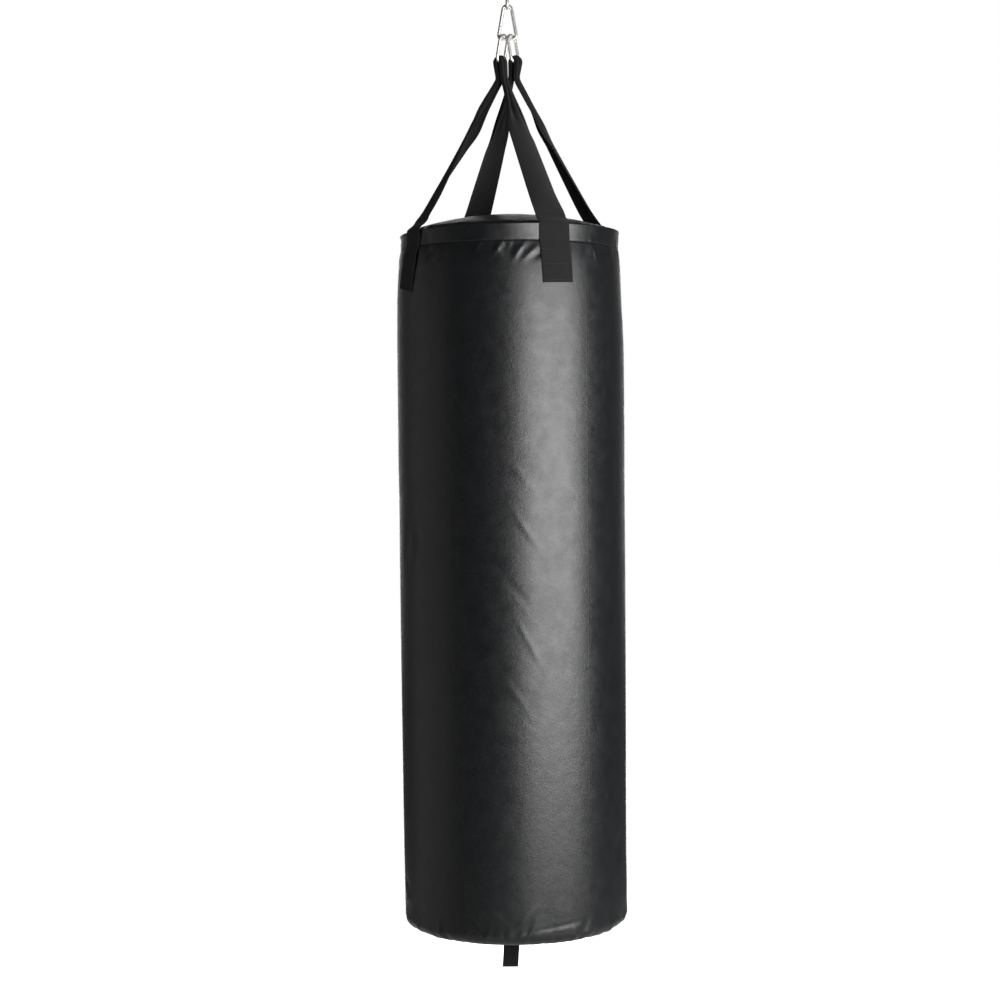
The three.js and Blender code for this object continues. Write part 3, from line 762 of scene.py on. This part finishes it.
def build_zip_teeth():
    """A moulded coil: alternate loops from both tapes, meshed along the middle."""
    half = ZIP_HALF_LENGTH - 5 * MM
    pitch = 1.5 * MM
    paths = []
    count = int(2 * half / pitch)
    for i in range(count):
        along = -half + (i + 0.5) * pitch
        side = 1 if i % 2 else -1
        across = np.array([-1.3, -0.6, 0.6, 2.2, 2.9]) * MM * side
        rise = np.array([-1.3, -0.75, -0.6, -0.75, -1.5]) * MM
        angle = along / DOME_RADIUS
        reach = DOME_RADIUS + rise
        paths.append(
            (reach * math.sin(angle))[:, None] * ZIP_ALONG
            + across[:, None] * ZIP_ACROSS
            + DOME_CENTRE
            + (reach * math.cos(angle))[:, None] * np.array([0, 0, 1.0])
        )
    coil = short_tubes(paths, COIL_RADIUS)
    return make_piece("zip_coil", *coil, "bag", "zip_teeth", COIL, ["zip_teeth"])


# ------------------------------------------------------------------ steel links

upper_low, upper_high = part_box("upper_link")
pear_low, pear_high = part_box("pear_link")
UPPER_WIRE = upper_high.x - upper_low.x
PEAR_WIRE = pear_high.y - pear_low.y
PEAR_BAR_Z = joints["fore_aft_swing"]["pos_m"][2]
STRAP_WIRE = 5 * MM
STRAP_LINK_LENGTH = 48 * MM
STRAP_LINK_WIDTH = 24 * MM
BAR_GAP = 0.55 * MM
LINK_ANGLE = math.radians(52)
TOP_OFFSET = 5.8 * MM
BASE_OFFSET = 12 * MM
strap_link_top_z = PEAR_BAR_Z + (PEAR_WIRE + STRAP_WIRE) / 2 + BAR_GAP
strap_link_base_z = strap_link_top_z - (STRAP_LINK_LENGTH - STRAP_WIRE)
SPLAY = math.asin((BASE_OFFSET - TOP_OFFSET) / (PEAR_BAR_Z - strap_link_base_z))
WIRE_SHARE = 0.955  # thinner than the frame's wire, so that links stay clear as they swing
PEAR_TOP_WIDTH = 19 * MM
PEAR_CORNER = 5.5 * MM


def arc(centre, radius, start, stop, steps=22):
    turn = np.linspace(start, stop, steps, endpoint=False)
    return np.stack([centre[0] + radius * np.cos(turn), centre[1] + radius * np.sin(turn)], -1)


def oval_line(half_width, top, low):
    upper = arc((0, top - half_width), half_width, 0, math.pi)
    lower = arc((0, low + half_width), half_width, math.pi, 2 * math.pi)
    return np.concatenate([upper, lower])


def pear_line():
    """The centreline of the pear link: a small top arc, straight sides, a flat bar with round corners."""
    top_radius = (PEAR_TOP_WIDTH - PEAR_WIRE) / 2
    corner_radius = PEAR_CORNER
    corner_x = (pear_high.x - pear_low.x - PEAR_WIRE) / 2 - corner_radius
    top_z = pear_high.z - PEAR_WIRE / 2
    top_centre = top_z - top_radius
    corner_z = PEAR_BAR_Z + corner_radius
    reach = math.hypot(corner_x, top_centre - corner_z)
    side = math.acos((top_radius - corner_radius) / reach) - math.atan2(top_centre - corner_z, corner_x)
    return np.concatenate([
        arc((corner_x, corner_z), corner_radius, -math.pi / 2, side),
        arc((0, top_centre), top_radius, side, math.pi - side),
        arc((-corner_x, corner_z), corner_radius, math.pi - side, 1.5 * math.pi),
    ])


def wire_link(name, outline, wire, place, body, weld_share):
    """A bent and welded wire link. `place` turns outline points (across, height) into 3-D points."""
    closed = np.concatenate([outline, outline[:1]])
    travelled = distances_along(closed)
    count = 220
    spots = np.linspace(0, travelled[-1], count, endpoint=False)
    line = points_along(closed, travelled, spots)
    for _ in range(2):
        line = (np.roll(line, 1, 0) + 2 * line + np.roll(line, -1, 0)) / 4
    ahead = unit(np.roll(line, -1, 0) - np.roll(line, 1, 0))
    sideways = np.stack([ahead[:, 1], -ahead[:, 0]], -1)

    from_weld = np.abs((spots / travelled[-1] - weld_share + 0.5) % 1 - 0.5) * travelled[-1]
    bead = 0.09 * np.exp(-((from_weld / (1.5 * MM)) ** 2))
    neck = 0.05 * np.exp(-((from_weld / (3.4 * MM)) ** 2))
    radius = wire / 2 * (WIRE_SHARE + (bead - neck))
    sides = 24
    turn = np.linspace(0, 2 * math.pi, sides, endpoint=False)
    flat = line[:, None] + (radius[:, None] * np.cos(turn))[..., None] * sideways[:, None]
    depth = radius[:, None] * np.sin(turn)[None, :]
    points = place(flat[..., 0], depth, flat[..., 1])
    faces = grid_faces(count, sides, wrap_rows=True, wrap_columns=True)
    return make_piece(name + "_wire", points, faces, body, "steel_links", STEEL, [name])


def strap_link_place(side):
    """Turns a link's own points about its bar, and splays it to its side of the bag."""

    def place(across, depth, height):
        x = across * math.cos(LINK_ANGLE) - depth * math.sin(LINK_ANGLE)
        y = across * math.sin(LINK_ANGLE) + depth * math.cos(LINK_ANGLE)
        z = height - PEAR_BAR_Z
        tilt = -side * SPLAY
        turned_x = x * math.cos(tilt) + z * math.sin(tilt)
        turned_z = z * math.cos(tilt) - x * math.sin(tilt)
        return np.stack([turned_x + side * TOP_OFFSET, y, turned_z + PEAR_BAR_Z], -1)

    return place


def build_links():
    half = (upper_high.y - upper_low.y - UPPER_WIRE) / 2
    upper = oval_line(half, UPPER_WIRE / 2, upper_low.z + UPPER_WIRE / 2)
    wire_link("upper_link", upper, UPPER_WIRE, lambda a, d, h: np.stack([-d, a, h], -1), "upper_link", 0.0)
    wire_link("pear_link", pear_line(), PEAR_WIRE, lambda a, d, h: np.stack([a, d, h], -1), "pear_link", 0.72)
    oval = oval_line((STRAP_LINK_WIDTH - STRAP_WIRE) / 2, strap_link_top_z, strap_link_base_z)
    for name, side in (("strap_link_left", -1), ("strap_link_right", 1)):
        wire_link(name, oval, STRAP_WIRE, strap_link_place(side), "strap_links", 0.0)


# ------------------------------------------------------------------ webbing

ARCH_RADIUS = 6.7 * MM  # of the bunched webbing's middle, about the wire that it hangs on
LEG_RADIUS = 158 * MM  # where a leg leaves the rim, inside of the wall
LEG_FOOT_HEIGHT = 15 * MM
GATHER_ASIDE = -9.3 * MM  # where both legs of the front strap come together
GATHER_BELOW = 27 * MM
GATHER_APART = 4.9 * MM
# Direction of the webbing's width where both legs of a strap come together.
FRONT_GATHER_ANGLE = math.radians(57)
REAR_GATHER_ANGLE = math.radians(78)
SECTION_POINTS = 61
STATION_STEP = 2.4 * MM


def folded_section(width_share, fold, curl):
    """The webbing's section, of constant length: a shallow cup that folds into six pleats.

    Gives across, height and the section's own normal at each point, for a flat width of 1."""
    place = np.linspace(0, 1, SECTION_POINTS)
    pleats = np.sin(6 * math.pi * place + 0.7 * np.sin(2 * math.pi * place))
    shape = -(1 - fold) * (2 * place - 1) + fold * pleats

    def bent(amount):
        angle = amount * shape
        step = place[1] - place[0]
        middle = (angle[1:] + angle[:-1]) / 2
        across = np.concatenate([[0], np.cumsum(np.cos(middle))]) * step
        height = np.concatenate([[0], np.cumsum(np.sin(middle))]) * step
        return across - (across[0] + across[-1]) / 2, height - height.mean(), angle

    low, high = 0.0, 2.25
    for _ in range(24):
        middle = (low + high) / 2
        across, _, _ = bent(middle)
        if across[-1] - across[0] > width_share:
            low = middle
        else:
            high = middle
    across, height, angle = bent(max(high, curl))
    return across, height, np.stack([-np.sin(angle), np.cos(angle)], -1)


def strap_line(leans, gather_angle, turn):
    """Stations along a strap: place, share of the way to the gather, and direction of its width."""
    cross_wire = np.array([math.sin(LINK_ANGLE), -math.cos(LINK_ANGLE), 0])
    arch_centre = np.array([-BASE_OFFSET, 0, strap_link_base_z])
    swings = np.radians(np.linspace(85, -85, 17))
    arch = [
        arch_centre + ARCH_RADIUS * (math.sin(swing) * cross_wire + math.cos(swing) * np.array([0, 0, 1]))
        for swing in swings
    ]
    spin = np.array([[math.cos(turn), -math.sin(turn), 0], [math.sin(turn), math.cos(turn), 0], [0, 0, 1]])
    stand_off = WEBBING_THICKNESS / 2 + 0.25 * MM
    rising, climbing = 12, 90

    def leg(azimuth, lean, sewn_length, side):
        points = []
        for depth in np.arange(sewn_length, 3 * MM, -4 * MM):
            around = azimuth + turn + lean * (1 - depth / sewn_length)
            radius = float(wall_radius(around, depth)) + stand_off
            points.append(outward(around) * radius + np.array([0, 0, RIM_Z - depth]))
        out = outward(azimuth + turn + lean)
        rim_radius = float(wall_radius(azimuth + turn, 0.0)) + stand_off
        bend_start = (rim_radius, 1.5 * MM)
        bend_middle = (rim_radius - 3 * MM, 4.5 * MM)
        bend_end = (LEG_RADIUS + 5 * MM, 9 * MM)
        for radius, up in (bend_start, bend_middle, bend_end):
            points.append(out * radius + np.array([0, 0, RIM_Z + up]))
        foot = out * LEG_RADIUS + np.array([0, 0, RIM_Z + LEG_FOOT_HEIGHT])
        middle = np.array([GATHER_ASIDE, 0, strap_link_base_z - GATHER_BELOW])
        gather = spin @ (middle + side * GATHER_APART * cross_wire)
        arch_end = spin @ (arch[0] if side > 0 else arch[-1])
        sewn = len(points)
        climb = np.linspace(0, 1, climbing, endpoint=False)
        points += [foot + (gather - foot) * t for t in climb]
        points += [gather + (arch_end - gather) * t for t in np.linspace(0, 1, rising, endpoint=False)]
        return np.array(points), np.concatenate([np.zeros(sewn), climb, np.ones(rising)])

    first, second = STRAP_AZIMUTHS
    line_in, share_in = leg(first, leans[0], SEWN_LENGTHS[0], 1)
    line_out, share_out = leg(second, leans[1], SEWN_LENGTHS[1], -1)
    over = np.array([spin @ point for point in arch])
    points = np.concatenate([line_in, over, line_out[::-1]])
    share = np.concatenate([share_in, np.ones(len(over)), share_out[::-1]])
    twist = []
    for start, shares in ((first, share_in), (second + math.pi, share_out)):
        turned = start + (gather_angle - start) * shares
        turned[-rising:] = np.linspace(gather_angle, LINK_ANGLE, rising)
        twist.append(turned)
    angle = np.concatenate([twist[0], np.full(len(over), LINK_ANGLE), twist[1][::-1]]) + turn
    return points, share, angle


def even_stations(points, share, angle, step):
    """The same line with even steps, and its corners rounded except over the link."""
    travelled = distances_along(points)
    spots = np.linspace(0, travelled[-1], round(travelled[-1] / step) + 1)
    points = points_along(points, travelled, spots)
    share = np.interp(spots, travelled, share)
    angle = np.interp(spots, travelled, angle)
    for _ in range(5):
        eased = points.copy()
        eased[1:-1] = (points[:-2] + 2 * points[1:-1] + points[2:]) / 4
        near_wire = smooth(points[:, 2], strap_link_base_z - 16 * MM, strap_link_base_z - 6 * MM)
        points = points + (eased - points) * (1 - near_wire)[:, None]
    return spots, points, share, angle


def build_strap(name, leans, gather_angle, turn):
    stations = strap_line(leans, gather_angle, turn)
    travelled, line, share, angle = even_stations(*stations, STATION_STEP)
    along = unit(np.gradient(line, axis=0))
    top, bottom, weave = [], [], []
    edge = np.abs(np.linspace(-1, 1, SECTION_POINTS))
    half = WEBBING_THICKNESS / 2 * (1 - 0.35 * smooth(edge, 0.93, 1.0))
    wall_curl = WEBBING_WIDTH / 2 / BAG_RADIUS
    for i, spot in enumerate(line):
        level = np.array([math.cos(angle[i]), math.sin(angle[i]), 0.0])
        level = unit(level - along[i] * level.dot(along[i]))
        face = np.cross(level, along[i])
        slightly_cupped = (1 - CUPPED_SHARE) * smooth(share[i], 0, 0.2)
        bunched = (CUPPED_SHARE - BUNCH_SHARE) * smooth(share[i], 0.55, 1.0)
        width_share = 1 - slightly_cupped - bunched
        fold = float(smooth(share[i], 0.55, 0.85))
        curl = wall_curl * float(1 - smooth(share[i], 0.0, 0.2))
        across, height, normal = folded_section(min(width_share, 0.9995), fold, curl)
        middle = spot + WEBBING_WIDTH * (across[:, None] * level + height[:, None] * face)
        if share[i] == 0:
            middle += face * WEBBING_WIDTH * (height.mean() - height[SECTION_POINTS // 2])
        lean = normal[:, :1] * level + normal[:, 1:] * face
        top.append(middle + lean * half[:, None])
        bottom.append(middle - lean * half[:, None])
        place = np.linspace(-0.5, 0.5, SECTION_POINTS) * WEBBING_WIDTH
        weave.append(np.stack([place, np.full(SECTION_POINTS, travelled[i]), np.zeros(SECTION_POINTS)], -1))
    top, bottom, weave = np.array(top), np.array(bottom), np.array(weave)
    return make_sheet(name + "_webbing", top, bottom, "bag", "webbing", STRAP, [name], weave=weave)


def on_strap(azimuth, slant, length, side, depth):
    """A point on the outer face of a sewn strap end, `side` metres from its middle."""
    middle = azimuth + slant * (length - depth)
    around = middle + side / BAG_RADIUS
    radius = wall_radius(middle, depth) + WEBBING_THICKNESS + 0.25 * MM
    return outward(around) * float(radius) + np.array([0, 0, RIM_Z - depth]), outward(around)


def build_strap_stitches():
    """Three rows across each strap end."""
    reach = 22.5 * MM
    runs = []
    for turn, leans in ((0, FRONT_LEANS), (math.pi, REAR_LEANS)):
        for azimuth, lean, length in zip(STRAP_AZIMUTHS, leans, SEWN_LENGTHS):
            for down in (40 * MM, 61 * MM, length - 4 * MM):
                sides = -reach + 2 * reach * np.linspace(0, 1, 14)
                spots = [on_strap(azimuth + turn, lean / length, length, side, down) for side in sides]
                runs.append(([point for point, _ in spots], [out for _, out in spots]))
    return stitch_runs("strap_stitches", runs, 3.0 * MM)


# ------------------------------------------------------------------ tie-down loop

tie_low, tie_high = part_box("tie_loop")
foot_low, foot_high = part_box("tie_loop_foot")
TIE_PLY = foot_high.z - foot_low.z
TIE_X = (tie_low.x + tie_high.x) / 2


def bezier(first, second, third, fourth, steps=16):
    t = np.linspace(0, 1, steps, endpoint=False)[:, None]
    points = [np.array(p, dtype=float) for p in (first, second, third, fourth)]
    weights = ((1 - t) ** 3, 3 * t * (1 - t) ** 2, 3 * t * t * (1 - t), t**3)
    return sum(w * p for w, p in zip(weights, points))


def build_tie_loop():
    """Webbing folded double. It leaves the foot as two plies and opens into a loop."""
    half_width = (tie_high.x - tie_low.x) / 2
    ply = TIE_PLY * 0.9
    neck = ply / 2 + 0.1 * MM
    belly = (tie_high.y - tie_low.y) / 2 - ply / 2
    belly_z = tie_low.z + ply / 2 + belly
    top_z = tie_high.z - ply / 2
    down = bezier((-neck, top_z), (-neck, top_z - 22 * MM), (-belly, belly_z + 20 * MM), (-belly, belly_z))
    up = bezier((belly, belly_z), (belly, belly_z + 20 * MM), (neck, top_z - 22 * MM), (neck, top_z))
    bottom = arc((0, belly_z), belly, math.pi, 2 * math.pi, 24)
    end = np.array([[neck, top_z]])
    line = np.concatenate([down, bottom, up, end])
    travelled = distances_along(line)
    spots = np.linspace(0, travelled[-1], 96)
    line = points_along(line, travelled, spots)
    ahead = unit(np.gradient(line, axis=0))
    out = np.stack([ahead[:, 1], -ahead[:, 0]], -1)

    place = np.linspace(-1, 1, 25)
    half = ply / 2 * (1 - 0.3 * smooth(np.abs(place), 0.9, 1.0))
    drop = (tie_high.z - line[:, 1]) / (tie_high.z - tie_low.z)
    lean = TIE_X - 3.5 * MM * drop**1.3
    skins = []
    for sign in (1, -1):
        x = place[None, :] * half_width * (1 - 0.02 * drop[:, None]) + lean[:, None]
        y = line[:, :1] + sign * half[None, :] * out[:, :1]
        z = line[:, 1:] + sign * half[None, :] * out[:, 1:]
        skins.append(np.stack([x, y, z], -1))
    side, travelled = np.meshgrid(place * half_width, spots)
    weave = np.stack([side, travelled, np.zeros_like(side)], -1)
    return make_sheet("tie_loop_webbing", *skins, "tie_loop", "webbing", STRAP, ["tie_loop"], weave=weave)


def build_tie_foot():
    """The sewn ends of the loop, flat against the base, with a box of stitches on each side."""
    half_width = (foot_high.x - foot_low.x) / 2
    half_length = (foot_high.y - foot_low.y) / 2
    across = np.linspace(-1, 1, 21)
    along = np.linspace(-1, 1, 57)
    x, y = np.meshgrid(across * half_width, along * half_length)
    near_end = smooth(np.abs(y), half_length - 2 * MM, half_length)
    corner = near_end * smooth(np.abs(x), half_width - 2 * MM, half_width)
    top = np.stack([x + TIE_X, y, np.full_like(x, foot_high.z) - corner * 0.4 * MM], -1)
    bottom = np.stack([x + TIE_X, y, np.full_like(x, foot_low.z) + corner * 0.4 * MM], -1)
    weave = np.stack([x, y, np.zeros_like(x)], -1)
    make_sheet("tie_foot_webbing", top, bottom, "bag", "webbing", STRAP, ["tie_loop_foot"], weave=weave)

    runs = []
    inset = 2.5 * MM
    left, right = TIE_X - half_width + inset, TIE_X + half_width - inset
    for side in (-1, 1):
        near, far = side * 6 * MM, side * (half_length - inset)
        corners = [(left, near), (right, near), (right, far), (left, far), (left, near), (right, far)]
        corners += [(right, near), (left, far)]
        for start, stop in zip(corners, corners[1:]):
            t = np.linspace(0, 1, 8)[:, None]
            flat = np.array(start) + (np.array(stop) - np.array(start)) * t
            path = np.concatenate([flat, np.full((8, 1), foot_low.z - 0.1 * MM)], 1)
            runs.append((path, np.tile([0, 0, -1.0], (8, 1))))
    return stitch_runs("tie_foot_stitches", runs, 2.8 * MM)


# ------------------------------------------------------------------ nodes that keep their shape


def dress_kept_nodes():
    finishes = {
        BACKING: [name for name in nodes if name.startswith("strap_patch")] + ["base_patch"],
        STRAP: ["rim_webbing"],
        TAPE: ["zip_tape_front", "zip_tape_rear"],
        ZIP_METAL: ["zip_stop_closed", "zip_stop_open", "zip_slider", "zip_pull"],
        LINING: ["lining"],
        FOAM: ["foam_wall", "foam_top", "foam_base"],
        FILLING: ["filling_core"],
    }
    for material, names in finishes.items():
        for name in names:
            mesh = nodes[name].data
            mesh.materials.clear()
            mesh.materials.append(material)
    for name in ("zip_stop_closed", "zip_stop_open", "zip_slider", "zip_pull"):
        weld = nodes[name].modifiers.new("weld", "WELD")
        weld.merge_threshold = 0.01 * MM
        bevel = nodes[name].modifiers.new("soft_edges", "BEVEL")
        bevel.width = 0.3 * MM
        bevel.segments = 3
        bevel.limit_method = "ANGLE"
        bevel.angle_limit = math.radians(40)


# ------------------------------------------------------------------ studio


def area_light(name, azimuth, distance, z, width, height, power):
    """A soft box that faces the bag's axis."""
    light = bpy.data.lights.new(name, "AREA")
    light.shape = "RECTANGLE"
    light.size = width
    light.size_y = height
    light.energy = power
    lamp = bpy.data.objects.new(name, light)
    bpy.context.scene.collection.objects.link(lamp)
    place = Vector(outward(math.radians(azimuth))) * distance
    place.z = z
    lamp.location = place
    lamp.rotation_euler = (Vector((0, 0, z)) - place).to_track_quat("-Z", "Y").to_euler()
    lamp.visible_camera = False
    return lamp


def build_world():
    """White to the camera. As light it is bright behind and overhead, and dim in front."""
    world = bpy.data.worlds.new("studio")
    bpy.context.scene.world = world
    world.use_nodes = True
    tree = world.node_tree
    links = tree.links
    tree.nodes.clear()
    output, mix, seen, lit, rays, direction, split, ramp, scale = (
        tree.nodes.new("ShaderNode" + kind)
        for kind in (
            "OutputWorld", "MixShader", "Background", "Background", "LightPath", "TexCoord",
            "SeparateXYZ", "ValToRGB", "MapRange",
        )
    )
    seen.inputs["Color"].default_value = (1, 1, 1, 1)
    scale.inputs["From Min"].default_value = -1
    links.new(direction.outputs["Generated"], split.inputs["Vector"])
    links.new(split.outputs["Y"], scale.inputs["Value"])
    links.new(scale.outputs["Result"], ramp.inputs["Fac"])
    stops = ramp.color_ramp.elements
    stops[0].position = 0.0
    stops[0].color = (0.05, 0.05, 0.052, 1)
    stops[1].position = 1.0
    stops[1].color = (1.25, 1.25, 1.25, 1)
    for position, level in ((0.5, 0.06), (0.8, 0.07), (0.93, 0.16)):
        stop = stops.new(position)
        stop.color = (level, level, level, 1)
    links.new(ramp.outputs["Color"], lit.inputs["Color"])
    links.new(rays.outputs["Is Camera Ray"], mix.inputs["Fac"])
    links.new(lit.outputs["Background"], mix.inputs[1])
    links.new(seen.outputs["Background"], mix.inputs[2])
    links.new(mix.outputs["Shader"], output.inputs["Surface"])


def build_floor():
    """A pale round floor below the bag."""
    FLOOR_BELOW_BAG = 0.45
    mesh = bpy.data.meshes.new("floor")
    columns = 96
    radii = (0.4, 2.0, 6.0, 14.0)
    points = [
        (radius * math.sin(2 * math.pi * i / columns), radius * math.cos(2 * math.pi * i / columns), 0)
        for radius in radii
        for i in range(columns)
    ]
    faces = [list(face) for face in grid_faces(len(radii), columns, wrap_columns=True)]
    faces.append(list(range(columns)))
    mesh.from_pydata(points, [], faces)
    finish = Finish("pale_floor", Roughness=0.9, Emission_Color=(1, 1, 1, 1))
    finish.tint(finish.noise(3, detail=2), (0.5, 0.5, 0.5), (0.52, 0.52, 0.52))
    seen = finish.node("LightPath").outputs["Is Camera Ray"]
    finish.tree.links.new(seen, finish.shader.inputs["Emission Strength"])
    mesh.materials.append(finish.material)
    floor = bpy.data.objects.new("floor", mesh)
    floor.location.z = cad_low.z - FLOOR_BELOW_BAG
    bpy.context.scene.collection.objects.link(floor)


def build_camera():
    """Level with the middle of the bag, looking along +Y from the front."""
    DISTANCE = 3.5
    EYE_BELOW_RIM = 0.387
    ASIDE = -0.0188
    AIM_DROP = 0.030
    LENS = 79.9
    ROLL = math.radians(-0.55)
    data = bpy.data.cameras.new("camera")
    data.sensor_width = 36
    data.lens = LENS
    camera = bpy.data.objects.new("camera", data)
    bpy.context.scene.collection.objects.link(camera)
    eye = Vector((ASIDE, -DISTANCE, RIM_Z - EYE_BELOW_RIM))
    aim = Vector((ASIDE, 0, eye.z - AIM_DROP))
    camera.location = eye
    look = (aim - eye).to_track_quat("-Z", "Y").to_matrix().to_4x4()
    camera.rotation_euler = (look @ Matrix.Rotation(ROLL, 4, "Z")).to_euler()
    bpy.context.scene.camera = camera


def build_studio():
    middle = (RIM_Z + BASE_Z) / 2
    build_world()
    build_floor()
    # azimuth in degrees, distance, height, width and height of the box, watts
    area_light("key_box", 40, 2.1, middle + 0.18, 2.3, 1.45, 100)
    area_light("side_box", -92, 2.4, middle, 2.4, 2.2, 5)
    area_light("back_box", 180, 2.4, middle, 1.3, 2.2, 50)
    bpy.context.scene.view_settings.view_transform = "Standard"


build_camera()
build_links()
build_strap("strap_front", FRONT_LEANS, FRONT_GATHER_ANGLE, 0)
build_strap("strap_rear", REAR_LEANS, REAR_GATHER_ANGLE, math.pi)
build_cover_wall()
build_base_panel()
build_lid_panel("lid_front_skin", "lid_panel_front", -1)
build_lid_panel("lid_rear_skin", "lid_panel_rear", 1)
build_hem_stitches()
build_base_stitches()
build_zip_stitches()
build_zip_teeth()
build_strap_stitches()
build_tie_loop()
build_tie_foot()
dress_kept_nodes()
build_studio()
